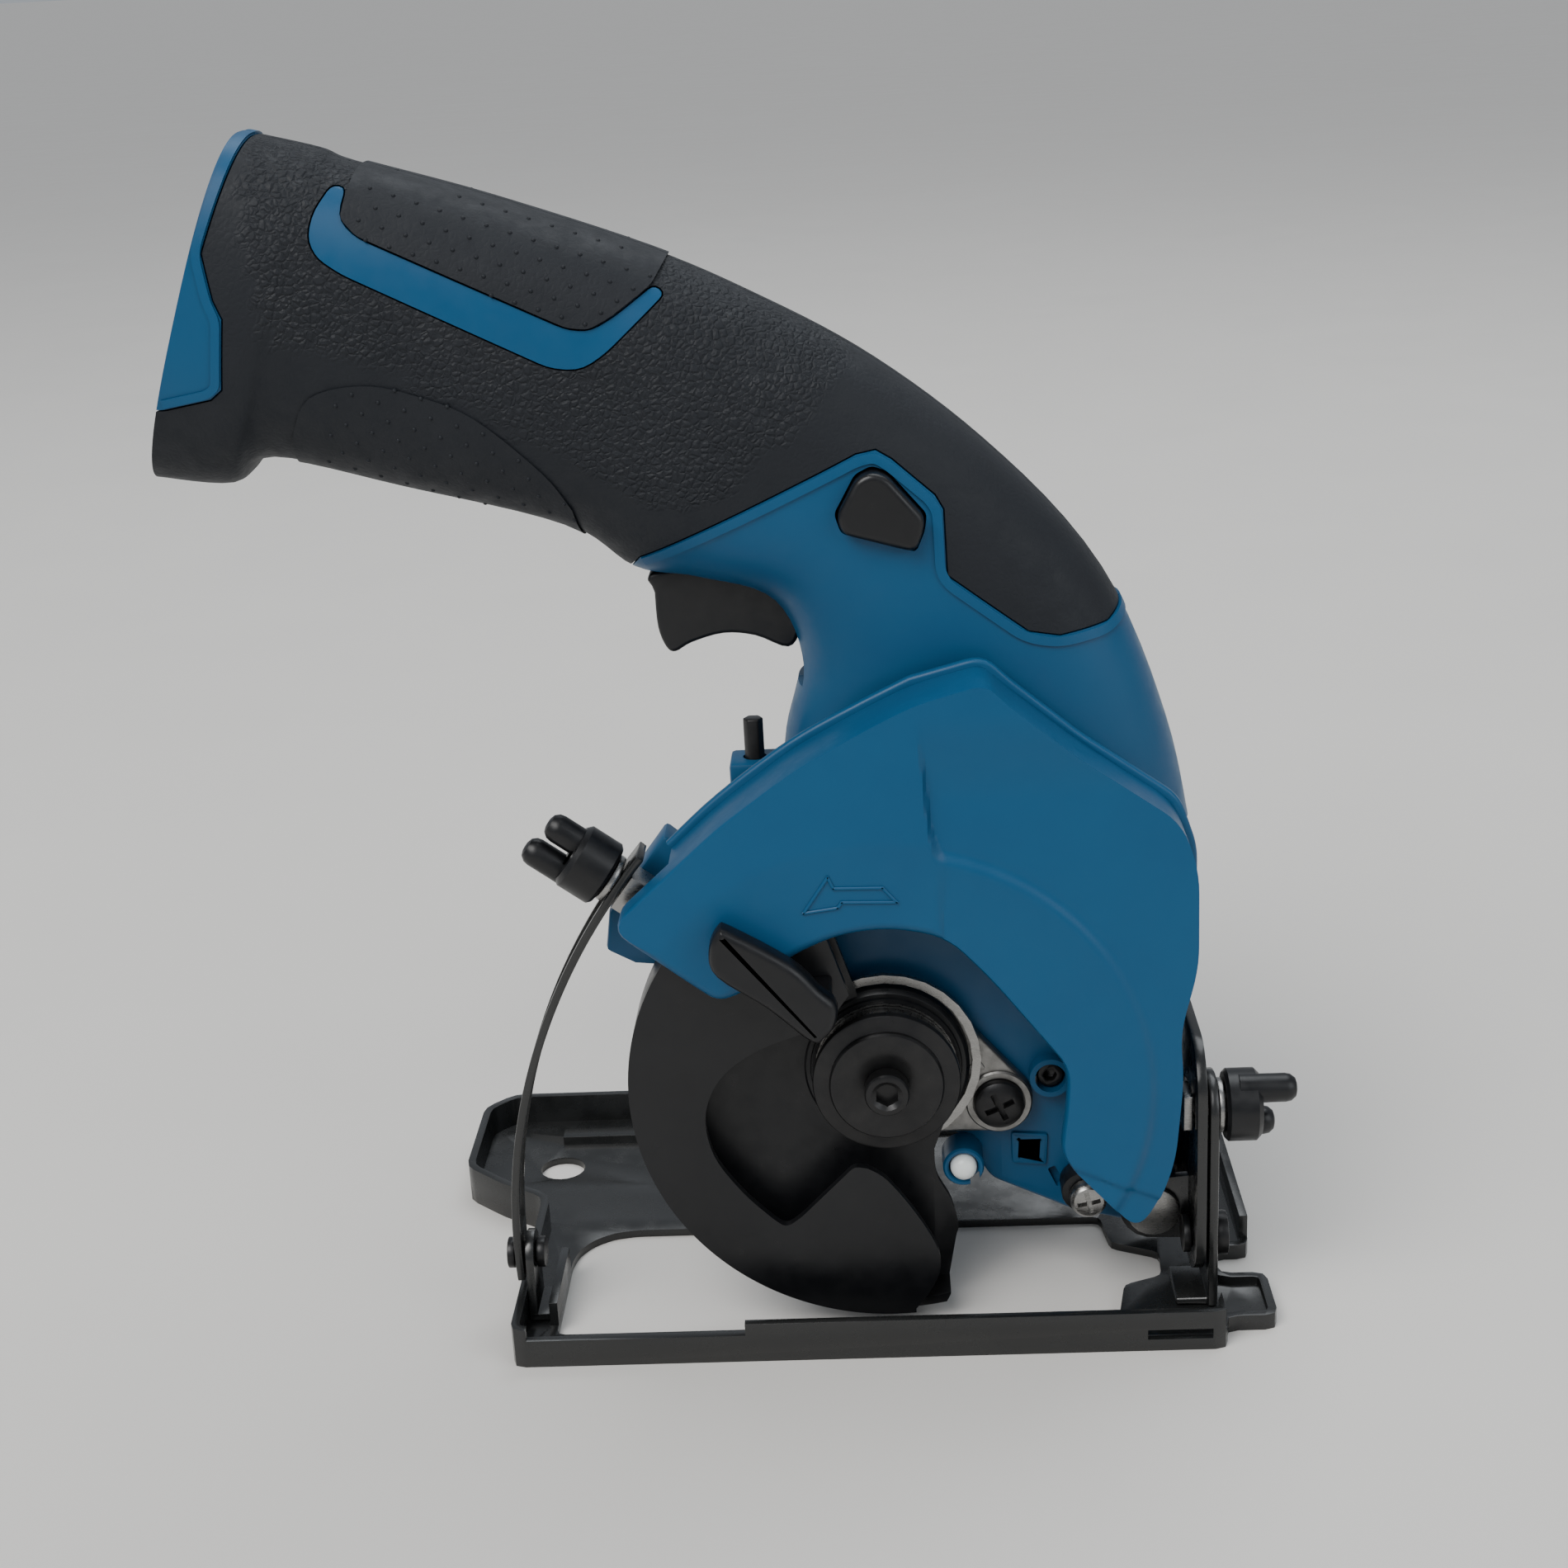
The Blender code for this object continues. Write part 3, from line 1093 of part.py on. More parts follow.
def make_key():
    """The hexagon key kept in the housing, its short arm turned back below the holder."""
    curve = bpy.data.curves.new("hex_key", "CURVE")
    curve.dimensions = "3D"
    curve.bevel_depth = KEY_R * MM
    curve.bevel_resolution = 1
    curve.use_fill_caps = True
    turn = 3.0
    bend = arc((KEY_X - turn, KEY_LOW_Z + turn), turn, 0, -90, 3)
    path = [(KEY_X, KEY_TOP_Z)] + bend + [(KEY_X - 10.0, KEY_LOW_Z)]
    points = [(x, KEY_Y, z) for x, z in path]
    spline = curve.splines.new("POLY")
    spline.points.add(len(points) - 1)
    for point, spot in zip(spline.points, points):
        point.co = (*(Vector(spot) * MM), 1)
    bake(place(bpy.data.objects.new("hex_key", curve), "black_steel"))


def make_shaft_lock():
    low = BODY_FAR_Y + 3.3
    button = cylinder("shaft_lock", 5.0, SHAFT_LOCK, low, low + 4.0, slot="black_plastic", sides=24)
    bevel(button, 0.8, 2)
    join(button, cylinder("add_shaft_lock_stem", 2.8, SHAFT_LOCK, 43.0, low + 1, sides=16))


def make_case_screws():
    for i, spot in enumerate(CASE_SCREWS):
        seat = BODY_FAR_Y + GAP
        name = f"case_screw_{i + 1}"
        inner = BODY_FAR_Y - BODY_WALL - 3
        screw = cylinder(name, 1.2, spot, inner, seat + 0.7, slot="black_steel", sides=12)
        join(screw, cylinder(f"add_case_screw_head_{i}", 2.7, spot, seat, seat + 1.7, sides=18))
    low = BODY_NEAR_Y - 1.5
    boss = cylinder("boss_screw", 2.4, CASE_BOSS, low, low + 3.0, slot="black_steel", sides=18)
    join(boss, cylinder("add_boss_screw_shank", 1.4, CASE_BOSS, low + 1, low + 10, sides=12))
    socket = [polar(CASE_BOSS, 1.3, 60 * i) for i in range(6)]
    cut(boss, prism("cut_boss_socket", socket, low - 2, low + 1.6))


# ---------------------------------------------------------------- depth clamp


def along_clamp(name, radius, low, high, slot=None, sides=20, aside=0.0):
    """A round bar along the clamp's line, from one distance to another from the depth pivot."""
    shape = bmesh.new()
    bmesh.ops.create_cone(
        shape, cap_ends=True, segments=sides, radius1=radius * MM, radius2=radius * MM, depth=(high - low) * MM
    )
    x, z = radial((low + high) / 2, CLAMP_ANGLE)
    tilt = Matrix.Rotation(math.radians(90 - CLAMP_ANGLE), 4, "Y")
    shift = Matrix.Translation((aside * MM, 0, 0))
    spot = Matrix.Translation((x * MM, BEVEL_Y * MM, z * MM))
    shape.transform(spot @ tilt @ shift)
    return mesh_object(name, shape, slot)


def clamp_block(name, low, high, wide, near, far, slot=None):
    """A block across the clamp's line, from one distance to another and from one y to another."""
    shape = bmesh.new()
    bmesh.ops.create_cube(shape, size=1.0)
    x, z = radial((low + high) / 2, CLAMP_ANGLE)
    tilt = Matrix.Rotation(math.radians(90 - CLAMP_ANGLE), 4, "Y")
    spot = Matrix.Translation((x * MM, (near + far) / 2 * MM, z * MM))
    size = Matrix.Diagonal((wide * MM, (far - near) * MM, (high - low) * MM, 1))
    shape.transform(spot @ tilt @ size)
    return mesh_object(name, shape, slot)


def make_depth_clamp():
    half = 3.5
    inside = GUIDE_R - GUIDE_T / 2 - GAP
    reach = (inside - 10.5, inside - 5.2)
    lug = clamp_block("clamp_lug", *reach, 8, BEVEL_Y - half, BODY_NEAR_Y - GAP, "cast_aluminium")
    cut(lug, along_clamp("cut_clamp_lug", CLAMP_BOLT_R + GAP, inside - 14, inside, sides=16))
    nut = clamp_block("clamp_nut", inside - 4.8, inside, 7, BEVEL_Y - half, BEVEL_Y + half, "bright_steel")
    cut(nut, along_clamp("cut_clamp_nut", CLAMP_BOLT_R + GAP, inside - 8, inside + 4, sides=16))
    outside = GUIDE_R + GUIDE_T / 2 + GAP
    along_clamp("clamp_bolt", CLAMP_BOLT_R, inside - 10.0, outside + 7.5, "bright_steel", 16)
    washer = along_clamp("clamp_washer", 4.6, outside, outside + 1.2, "bright_steel")
    cut(washer, along_clamp("cut_clamp_washer", CLAMP_BOLT_R + GAP, outside - 3, outside + 4, sides=16))
    low = outside + 1.2 + GAP
    knob = along_clamp("depth_knob", 6.3, low, low + 7.6, "black_plastic")
    bevel(knob, 0.8, 1)
    for i, aside in enumerate((-3.6, 2.6)):
        wing = along_clamp(f"add_depth_wing_{i}", 2.7, low + 3, low + 15.2 - i * 1.0, sides=16, aside=aside)
        bevel(wing, 1.3, 2)
        join(knob, wing)
    cut(knob, along_clamp("cut_depth_knob", CLAMP_BOLT_R + FIT, low - 3, outside + 7.9, sides=16))


# ---------------------------------------------------------------- joints


def hang(name, spot, children, parent=None):
    """An empty on a joint's axis, with the moving pieces below it."""
    empty = bpy.data.objects.new(name, None)
    bpy.data.collections[PARTS].objects.link(empty)
    empty.location = Vector(spot) * MM
    empty.empty_display_size = 10 * MM
    bpy.context.view_layer.update()
    if parent:
        empty.parent = parent
        empty.matrix_parent_inverse = parent.matrix_world.inverted()
    for child in children:
        obj = bpy.data.objects[child]
        obj.parent = empty
        obj.matrix_parent_inverse = empty.matrix_world.inverted()
    return empty


BASE = (
    "sole_plate rear_ear rear_rivet front_ear front_rivet bevel_bolt bevel_washer"
).split()
CARRIAGE = "bevel_quadrant depth_pin depth_pin_clip depth_guide".split()
SPINDLE = "outer_flange inner_flange blade_bolt spindle final_gear".split()
STEP = ["step_gear"]
MOTOR = "motor_pinion armature cooling_fan".split()
GUARD = "lower_guard guard_lever".split()


def assemble():
    """Hangs every piece on its joint and moves the whole saw to the part's origin."""
    named = {obj.name for obj in bpy.data.collections[PARTS].objects}
    moving = {*SPINDLE, *STEP, *MOTOR, *GUARD, "trigger", "lock_button", "depth_knob"}
    moving |= {"bevel_knob", "shaft_lock", "hex_key"}
    body = sorted(named - moving - set(BASE) - set(CARRIAGE))
    root = hang("base_frame", (0, 0, 0), BASE)
    hang("bevel_knob_axis", (0, BEVEL_Y, BEVEL_Z + BEVEL_SLOT_R), ["bevel_knob"], root)
    carriage = hang("bevel_axis", (0, BEVEL_Y, BEVEL_Z), CARRIAGE, root)
    saw = hang("depth_axis", (PIVOT_X, 0, PIVOT_Z), body, carriage)
    x, z = ARBOR
    hang("guard_axis", (x, 0, z), GUARD, saw)
    hang("spindle_axis", (x, 0, z), SPINDLE, saw)
    hang("step_axis", (STEP_SHAFT[0], 0, STEP_SHAFT[1]), STEP, saw)
    hang("motor_axis", (MOTOR_SHAFT[0], 0, MOTOR_SHAFT[1]), MOTOR, saw)
    hang("trigger_axis", (TRIGGER_AXIS[0], 0, TRIGGER_AXIS[1]), ["trigger"], saw)
    hang("lock_button_axis", (2.0, BODY_MID_Y, 155.0), ["lock_button"], saw)
    hang("shaft_lock_axis", (SHAFT_LOCK[0], BODY_FAR_Y, SHAFT_LOCK[1]), ["shaft_lock"], saw)
    hang("hex_key_axis", (KEY_X, KEY_Y, 100.0), ["hex_key"], saw)
    x, z = radial(GUIDE_R, CLAMP_ANGLE)
    hang("depth_knob_axis", (x, BEVEL_Y, z), ["depth_knob"], saw)
    root.location.y = ORIGIN_Y * MM


def main():
    clear_scene()
    make_sole()
    make_rear_ear()
    make_bevel_knob(make_front_ear())
    make_quadrant()
    make_depth_guide()
    make_cover()
    make_bearing_retainer()
    make_lamp()
    make_lower_screw()
    make_body()
    make_lower_guard()
    make_spindle()
    make_gear_case()
    make_gear_train()
    make_motor()
    make_trigger()
    make_lock_button()
    make_electrics()
    make_key()
    make_shaft_lock()
    make_case_screws()
    make_depth_clamp()
    assemble()
    for obj in bpy.data.collections[PARTS].objects:
        if obj.type == "MESH":
            smooth(obj)


main()
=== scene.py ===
"""Looks for a small battery circular saw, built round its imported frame.

Lengths are millimetres in the saw's own layout: +X to the front, +Y from the open blade side to the motor,
+Z up, x = 0 at the arbor, y = 0 at the outer face of the lower guard and z = 0 under the sole. spot() turns
them into the frame's metres, from where the frame holds the flange and the guard.
"""

import json
import math

import bmesh
import bpy
from mathutils import Matrix, Vector


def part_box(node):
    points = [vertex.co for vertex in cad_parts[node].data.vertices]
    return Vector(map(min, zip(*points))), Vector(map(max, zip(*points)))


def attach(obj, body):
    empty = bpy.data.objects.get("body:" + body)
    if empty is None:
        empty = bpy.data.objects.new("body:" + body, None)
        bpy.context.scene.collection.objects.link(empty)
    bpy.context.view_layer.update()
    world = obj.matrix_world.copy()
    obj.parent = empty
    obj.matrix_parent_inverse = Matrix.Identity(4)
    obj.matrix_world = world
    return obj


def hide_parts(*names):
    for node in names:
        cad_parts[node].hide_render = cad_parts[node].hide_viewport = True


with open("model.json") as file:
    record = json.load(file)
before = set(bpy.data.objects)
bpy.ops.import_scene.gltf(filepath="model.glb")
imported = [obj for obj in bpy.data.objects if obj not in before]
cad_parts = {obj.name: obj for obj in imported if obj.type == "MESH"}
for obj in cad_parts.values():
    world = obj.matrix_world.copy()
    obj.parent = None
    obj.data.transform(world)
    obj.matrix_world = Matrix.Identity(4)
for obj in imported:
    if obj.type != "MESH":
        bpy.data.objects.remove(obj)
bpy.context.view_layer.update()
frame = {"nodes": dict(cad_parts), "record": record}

MM = 0.001
ARBOR = (0.0, 50.5)
PIVOT = (50.0, 17.0)
GUIDE_R = 121.5
CLAMP_ANGLE = 143.2
MID_Y = 33.0
NEAR_Y = 15.3
FAR_Y = 50.0
SEAM = 0.15
SKIN_T = 2.0
WALL_T = 2.2
GAP = 0.3
MOTOR = (10.998, 78.246)
NEAR_HUB_R = 16.4
FAR_HUB_R = 13.2
BARREL_R = 20.6
BARREL_FAR_Y = 86.0
RETAINER_SCREW = (21.0, 41.0)
LOWER_SCREW = (37.3, 21.9)
CASE_BOSS = (30.8, 45.3)
CASE_SCREWS = ((40, 62), (46, 84), (-11, 88))
LAMP = (13.9, 29.2)
SPINDLE_LOCK = (9.5, 47.0)

flange_low, flange_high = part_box("outer_flange")
guard_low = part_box("lower_guard")[0]
SHIFT = Vector(
    (
        (flange_low.x + flange_high.x) / 2 - ARBOR[0] * MM,
        guard_low.y,
        (flange_low.z + flange_high.z) / 2 - ARBOR[1] * MM,
    )
)


# ---------------------------------------------------------------- shapes


def spot(x, y, z):
    return Vector((x, y, z)) * MM + SHIFT


def polar(centre, radius, degrees):
    turn = math.radians(degrees)
    return (centre[0] + radius * math.cos(turn), centre[1] + radius * math.sin(turn))


def arc(centre, radius, start, end, steps):
    return [polar(centre, radius, start + (end - start) * i / steps) for i in range(steps + 1)]


def flowing(keys, steps, closed=False):
    """Points read along a smooth curve through the key points."""
    count = len(keys)
    made = []
    for i in range(count if closed else count - 1):
        if closed:
            a, b, c, d = (keys[(i + k) % count] for k in (-1, 0, 1, 2))
        else:
            a, b, c, d = keys[max(i - 1, 0)], keys[i], keys[i + 1], keys[min(i + 2, count - 1)]
        for k in range(steps):
            t = k / steps
            made.append(
                tuple(
                    0.5 * (2 * q + (r - p) * t + (2 * p - 5 * q + 4 * r - s) * t**2)
                    + 0.5 * (3 * q - p - 3 * r + s) * t**3
                    for p, q, r, s in zip(a, b, c, d)
                )
            )
    if not closed:
        made.append(tuple(keys[-1]))
    return made


def rounded(points, radius, steps=5):
    """The outline with each corner replaced by a short arc of about the radius."""
    made = []
    count = len(points)
    for i in range(count):
        before, here, after = (Vector(points[(i + k) % count]) for k in (-1, 0, 1))
        back = before - here
        ahead = after - here
        reach = min(radius, back.length * 0.48, ahead.length * 0.48)
        start = here + back.normalized() * reach
        end = here + ahead.normalized() * reach
        for k in range(steps + 1):
            t = k / steps
            made.append(tuple(start * (1 - t) ** 2 + here * 2 * t * (1 - t) + end * t * t))
    return made


def inset(points, distance):
    """The outline moved inwards, for points listed anticlockwise."""
    made = []
    count = len(points)
    for i in range(count):
        before, here, after = (Vector(points[(i + k) % count]) for k in (-1, 0, 1))
        first = (here - before).normalized()
        second = (after - here).normalized()
        normal = Vector((-first.y, first.x)) + Vector((-second.y, second.x))
        scale = distance / max(0.35, (1 + first.dot(second)) / 2)
        made.append(tuple(here + normal / 2 * scale))
    return made


def band(path, width, shift=0.0):
    """The outline of a strip beside an open path, on its right."""
    left = []
    right = []
    for i, point in enumerate(path):
        before = Vector(path[max(i - 1, 0)])
        after = Vector(path[min(i + 1, len(path) - 1)])
        ahead = (after - before).normalized()
        side = Vector((ahead.y, -ahead.x))
        left.append(tuple(Vector(point) + side * shift))
        right.append(tuple(Vector(point) + side * (shift + width)))
    return left + right[::-1]


def face_out(shape):
    bmesh.ops.recalc_face_normals(shape, faces=shape.faces)
    if shape.calc_volume(signed=True) < 0:
        bmesh.ops.reverse_faces(shape, faces=shape.faces)


def solid(name, shape):
    face_out(shape)
    mesh = bpy.data.meshes.new(name)
    shape.to_mesh(mesh)
    shape.free()
    obj = bpy.data.objects.new(name, mesh)
    bpy.context.scene.collection.objects.link(obj)
    return obj


LAY = {
    "x": lambda u, v, w: (w, u, v),
    "y": lambda u, v, w: (u, w, v),
    "z": lambda u, v, w: (u, v, w),
}


def prism(name, outline, low, high, axis="y"):
    shape = bmesh.new()
    rings = [[shape.verts.new(spot(*LAY[axis](u, v, w))) for u, v in outline] for w in (low, high)]
    for ring in rings:
        shape.faces.new(ring)
    count = len(outline)
    for i in range(count):
        j = (i + 1) % count
        shape.faces.new((rings[0][i], rings[0][j], rings[1][j], rings[1][i]))
    return solid(name, shape)


def pillow(name, outline, low, high, radius, steps=3):
    """A prism along y with rounded rims, for points listed anticlockwise."""
    turns = [math.pi / 2 * i / steps for i in range(steps + 1)]
    layers = [(low + radius * (1 - math.sin(t)), radius * (1 - math.cos(t))) for t in turns[::-1]]
    layers += [(high - radius * (1 - math.sin(t)), radius * (1 - math.cos(t))) for t in turns]
    layers = [(low, radius + 0.2)] + layers + [(high, radius + 0.2)]
    shape = bmesh.new()
    rings = [[shape.verts.new(spot(u, y, v)) for u, v in inset(outline, back)] for y, back in layers]
    shape.faces.new(rings[0])
    shape.faces.new(rings[-1])
    count = len(outline)
    for first, second in zip(rings, rings[1:]):
        for i in range(count):
            j = (i + 1) % count
            shape.faces.new((first[i], first[j], second[j], second[i]))
    return solid(name, shape)


def turned(name, profile, centre, axis="y", sides=96):
    """A shape turned about an axis, from (radius, place along the axis) points."""
    shape = bmesh.new()
    rings = []
    for radius, w in profile:
        if radius <= 0:
            rings.append([shape.verts.new(spot(*LAY[axis](*centre, w)))])
            continue
        ring = [polar(centre, radius, 360 * i / sides) for i in range(sides)]
        rings.append([shape.verts.new(spot(*LAY[axis](u, v, w))) for u, v in ring])
    pairs = list(zip(rings, rings[1:]))
    if profile[0][0] > 0 and profile[-1][0] > 0:
        pairs.append((rings[-1], rings[0]))
    for first, second in pairs:
        for i in range(sides):
            j = (i + 1) % sides
            if len(first) == 1 and len(second) == 1:
                break
            if len(first) == 1:
                shape.faces.new((first[0], second[j], second[i]))
            elif len(second) == 1:
                shape.faces.new((first[i], first[j], second[0]))
            else:
                shape.faces.new((first[i], first[j], second[j], second[i]))
    return solid(name, shape)


def bar(name, radius, centre, low, high, axis="y", sides=64):
    return turned(name, [(0, low), (radius, low), (radius, high), (0, high)], centre, axis, sides)


def box(name, low, high):
    outline = [(low[0], low[2]), (high[0], low[2]), (high[0], high[2]), (low[0], high[2])]
    return prism(name, outline, low[1], high[1])


def settle(obj):
    """Turns an object's modifiers into its plain mesh."""
    bpy.context.view_layer.update()
    evaluated = obj.evaluated_get(bpy.context.evaluated_depsgraph_get())
    mesh = bpy.data.meshes.new_from_object(evaluated)
    obj.modifiers.clear()
    old = obj.data
    obj.data = mesh
    bpy.data.meshes.remove(old)
    return obj


def volume(mesh):
    shape = bmesh.new()
    shape.from_mesh(mesh)
    found = shape.calc_volume(signed=True) / MM**3
    shape.free()
    return found


def combine(obj, operation, others):
    """Joins, cuts or keeps a solid with others, by the first solver whose volume makes sense."""
    for other in others:
        modifier = obj.modifiers.new("combine", "BOOLEAN")
        modifier.operation = operation
        modifier.object = other
        before, tool = volume(obj.data), volume(other.data)
        least = {"UNION": max(before, tool), "DIFFERENCE": before - tool, "INTERSECT": 0.0}[operation]
        most = {"UNION": before + tool, "DIFFERENCE": before, "INTERSECT": min(before, tool)}[operation]
        for solver in ("EXACT", "MANIFOLD", "FLOAT"):
            modifier.solver = solver
            bpy.context.view_layer.update()
            evaluated = obj.evaluated_get(bpy.context.evaluated_depsgraph_get())
            after = volume(evaluated.data)
            if max(least * 0.99, 0.01) <= after <= most * 1.01:
                break
        settle(obj)
    for other in others:
        bpy.data.objects.remove(other)
    return obj


def cut(obj, *others):
    return combine(obj, "DIFFERENCE", others)


def join(obj, *others):
    return combine(obj, "UNION", others)


def keep(obj, *others):
    return combine(obj, "INTERSECT", others)


def tidy(obj, flat=0.6, weld=0.015):
    """Welds near points and dissolves flat faces, so that edges can be rounded."""
    shape = bmesh.new()
    shape.from_mesh(obj.data)
    bmesh.ops.remove_doubles(shape, verts=shape.verts, dist=weld * MM)
    bmesh.ops.dissolve_degenerate(shape, edges=shape.edges, dist=weld * MM)
    bmesh.ops.dissolve_limit(
        shape, angle_limit=math.radians(flat), verts=shape.verts, edges=shape.edges
    )
    shape.to_mesh(obj.data)
    shape.free()
    return obj


def soften(obj, width, segments=3, angle=30, flat=0.6):
    """Rounds an object's sharp edges."""
    tidy(obj, flat)
    modifier = obj.modifiers.new("round", "BEVEL")
    modifier.width = width * MM
    modifier.segments = segments
    modifier.limit_method = "ANGLE"
    modifier.angle_limit = math.radians(angle)
    modifier.miter_outer = "MITER_ARC"
    return settle(obj)


def copy_of(node, name):
    """A welded copy of a frame piece."""
    mesh = frame["nodes"][node].data.copy()
    obj = bpy.data.objects.new(name, mesh)
    bpy.context.scene.collection.objects.link(obj)
    shape = bmesh.new()
    shape.from_mesh(mesh)
    bmesh.ops.remove_doubles(shape, verts=shape.verts, dist=0.002 * MM)
    shape.to_mesh(mesh)
    shape.free()
    return obj


def fit(obj, look, body, slot, *nodes, angle=32):
    """Gives a finished piece its material, smooth shading and body, and hides the frame pieces that it
    stands for.
    """
    obj.data.materials.clear()
    obj.data.materials.append(look)
    obj.data.polygons.foreach_set("material_index", [0] * len(obj.data.polygons))
    obj.data.shade_smooth()
    obj.data.set_sharp_from_angle(angle=math.radians(angle))
    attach(obj, body)
    if nodes:
        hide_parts(*nodes)
    return obj


# ---------------------------------------------------------------- materials


class Look:
    """A node material for one finish, with the parts of its pattern named."""

    def __init__(self, name, colour, roughness, metallic=0.0, specular=0.5):
        self.material = bpy.data.materials.new(name)
        self.material.use_nodes = True
        self.tree = self.material.node_tree
        self.shader = self.tree.nodes["Principled BSDF"]
        self.shader.inputs["Base Color"].default_value = (*colour, 1)
        self.shader.inputs["Roughness"].default_value = roughness
        self.shader.inputs["Metallic"].default_value = metallic
        self.shader.inputs["Specular IOR Level"].default_value = specular
        self.colour = colour
        self.place = self.node("ShaderNodeTexCoord").outputs["Object"]
        self.height = None
        self.material.diffuse_color = (*colour, 1)

    def node(self, kind, **inputs):
        made = self.tree.nodes.new(kind)
        for key, value in inputs.items():
            made.inputs[key.replace("_", " ")].default_value = value
        return made

    def link(self, start, end):
        self.tree.links.new(start, end)

    def noise(self, size, detail=3.0, rough=0.55, stretch=None):
        """A noise whose features are about this many millimetres."""
        made = self.node("ShaderNodeTexNoise", Scale=1 / (size * MM), Detail=detail, Roughness=rough)
        place = self.place
        if stretch:
            mapping = self.node("ShaderNodeMapping", Scale=stretch)
            self.link(place, mapping.inputs["Vector"])
            place = mapping.outputs["Vector"]
        self.link(place, made.inputs["Vector"])
        return made.outputs["Fac"]

    def spread(self, value, low, high, start=0.3, end=0.7):
        made = self.node("ShaderNodeMapRange")
        made.inputs["From Min"].default_value = start
        made.inputs["From Max"].default_value = end
        made.inputs["To Min"].default_value = low
        made.inputs["To Max"].default_value = high
        self.link(value, made.inputs["Value"])
        return made.outputs["Result"]

    def maths(self, operation, first, second):
        made = self.tree.nodes.new("ShaderNodeMath")
        made.operation = operation
        for i, value in enumerate((first, second)):
            if isinstance(value, (int, float)):
                made.inputs[i].default_value = value
            else:
                self.link(value, made.inputs[i])
        return made.outputs[0]

    def mottle(self, size, amount, tint=None, stretch=None):
        """Slow change of colour over the surface, towards a tint."""
        mix = self.tree.nodes.new("ShaderNodeMix")
        mix.data_type = "RGBA"
        mix.inputs["A"].default_value = (*self.colour, 1)
        mix.inputs["B"].default_value = (*(tint or [c * 1.5 for c in self.colour]), 1)
        self.link(self.spread(self.noise(size, 5, 0.6, stretch), 0, amount), mix.inputs["Factor"])
        self.link(mix.outputs["Result"], self.shader.inputs["Base Color"])
        return mix

    def gloss(self, size, low, high, stretch=None):
        """Roughness that changes over the surface."""
        self.link(
            self.spread(self.noise(size, 5, 0.65, stretch), low, high), self.shader.inputs["Roughness"]
        )

    def raise_by(self, value, depth):
        """Adds a height in millimetres to the surface's relief."""
        scaled = self.maths("MULTIPLY", value, depth)
        self.height = self.maths("ADD", self.height, scaled) if self.height else scaled

    def done(self, strength=1.0):
        if self.height:
            bump = self.node("ShaderNodeBump", Strength=strength, Distance=MM)
            self.link(self.height, bump.inputs["Height"])
            self.link(bump.outputs["Normal"], self.shader.inputs["Normal"])
        return self.material


def teal_moulded():
    look = Look("teal_moulded", (0.001, 0.060, 0.145), 0.44, specular=0.35)
    look.mottle(14, 0.35, (0.003, 0.075, 0.165))
    look.gloss(5, 0.36, 0.50)
    look.raise_by(look.noise(0.35, 2), 0.012)
    look.raise_by(look.noise(9, 2), 0.05)
    return look.done(0.55)


def grip_elastomer():
    look = Look("soft_grip", (0.0075, 0.0092, 0.0125), 0.6, specular=0.28)
    look.mottle(20, 0.5, (0.013, 0.015, 0.019))
    look.gloss(4, 0.52, 0.7)
    grain = look.node("ShaderNodeAttribute")
    grain.attribute_name = "grain"
    warp = look.tree.nodes.new("ShaderNodeVectorMath")
    warp.operation = "MULTIPLY_ADD"
    wobble = look.node("ShaderNodeTexNoise", Scale=1 / (1.6 * MM), Detail=2.0)
    look.link(look.place, wobble.inputs["Vector"])
    look.link(wobble.outputs["Color"], warp.inputs[0])
    warp.inputs[1].default_value = (0.0012, 0.0012, 0.0012)
    look.link(look.place, warp.inputs[2])
    cells = look.node("ShaderNodeTexVoronoi", Scale=1 / (1.3 * MM))
    cells.feature = "DISTANCE_TO_EDGE"
    look.link(warp.outputs[0], cells.inputs["Vector"])
    pebbles = look.spread(cells.outputs["Distance"], 0.0, 1.0, 0.0, 0.28)
    look.raise_by(look.maths("MULTIPLY", pebbles, grain.outputs["Fac"]), 0.28)
    look.raise_by(look.noise(0.25, 2), 0.02)
    return look.done(0.8)


def black_moulded():
    look = Look("black_moulded", (0.0035, 0.0037, 0.0045), 0.36, specular=0.38)
    look.mottle(9, 0.5, (0.007, 0.0073, 0.0085))
    look.gloss(4, 0.26, 0.46)
    look.raise_by(look.noise(0.4, 2), 0.010)
    look.raise_by(look.noise(6, 2), 0.03)
    return look.done(0.5)


def sheet_paint():
    look = Look("sheet_paint", (0.008, 0.0085, 0.0085), 0.24, specular=0.6)
    look.mottle(16, 0.3, (0.018, 0.018, 0.017))
    look.gloss(7, 0.16, 0.36)
    look.raise_by(look.noise(1.1, 2), 0.012)
    look.raise_by(look.noise(0.25, 1), 0.004)
    return look.done(0.6)


def cast_metal():
    look = Look("cast_metal", (0.27, 0.265, 0.255), 0.42, 1.0)
    look.mottle(3, 0.7, (0.17, 0.165, 0.155))
    look.gloss(1.5, 0.34, 0.55)
    look.raise_by(look.noise(0.5, 4, 0.7), 0.05)
    return look.done(0.7)


def bright_metal():
    look = Look("bright_metal", (0.34, 0.335, 0.325), 0.3, 1.0)
    look.mottle(5, 0.5, (0.22, 0.215, 0.205))
    look.gloss(1.2, 0.2, 0.42, (1, 1, 6))
    look.raise_by(look.noise(0.3, 2, 0.5, (1, 1, 5)), 0.006)
    return look.done(0.6)


def black_oxide():
    look = Look("black_oxide", (0.020, 0.020, 0.021), 0.38, 0.7)
    look.mottle(6, 0.55, (0.040, 0.039, 0.038))
    look.gloss(2.0, 0.26, 0.46)
    look.raise_by(look.noise(0.35, 3), 0.010)
    return look.done(0.6)


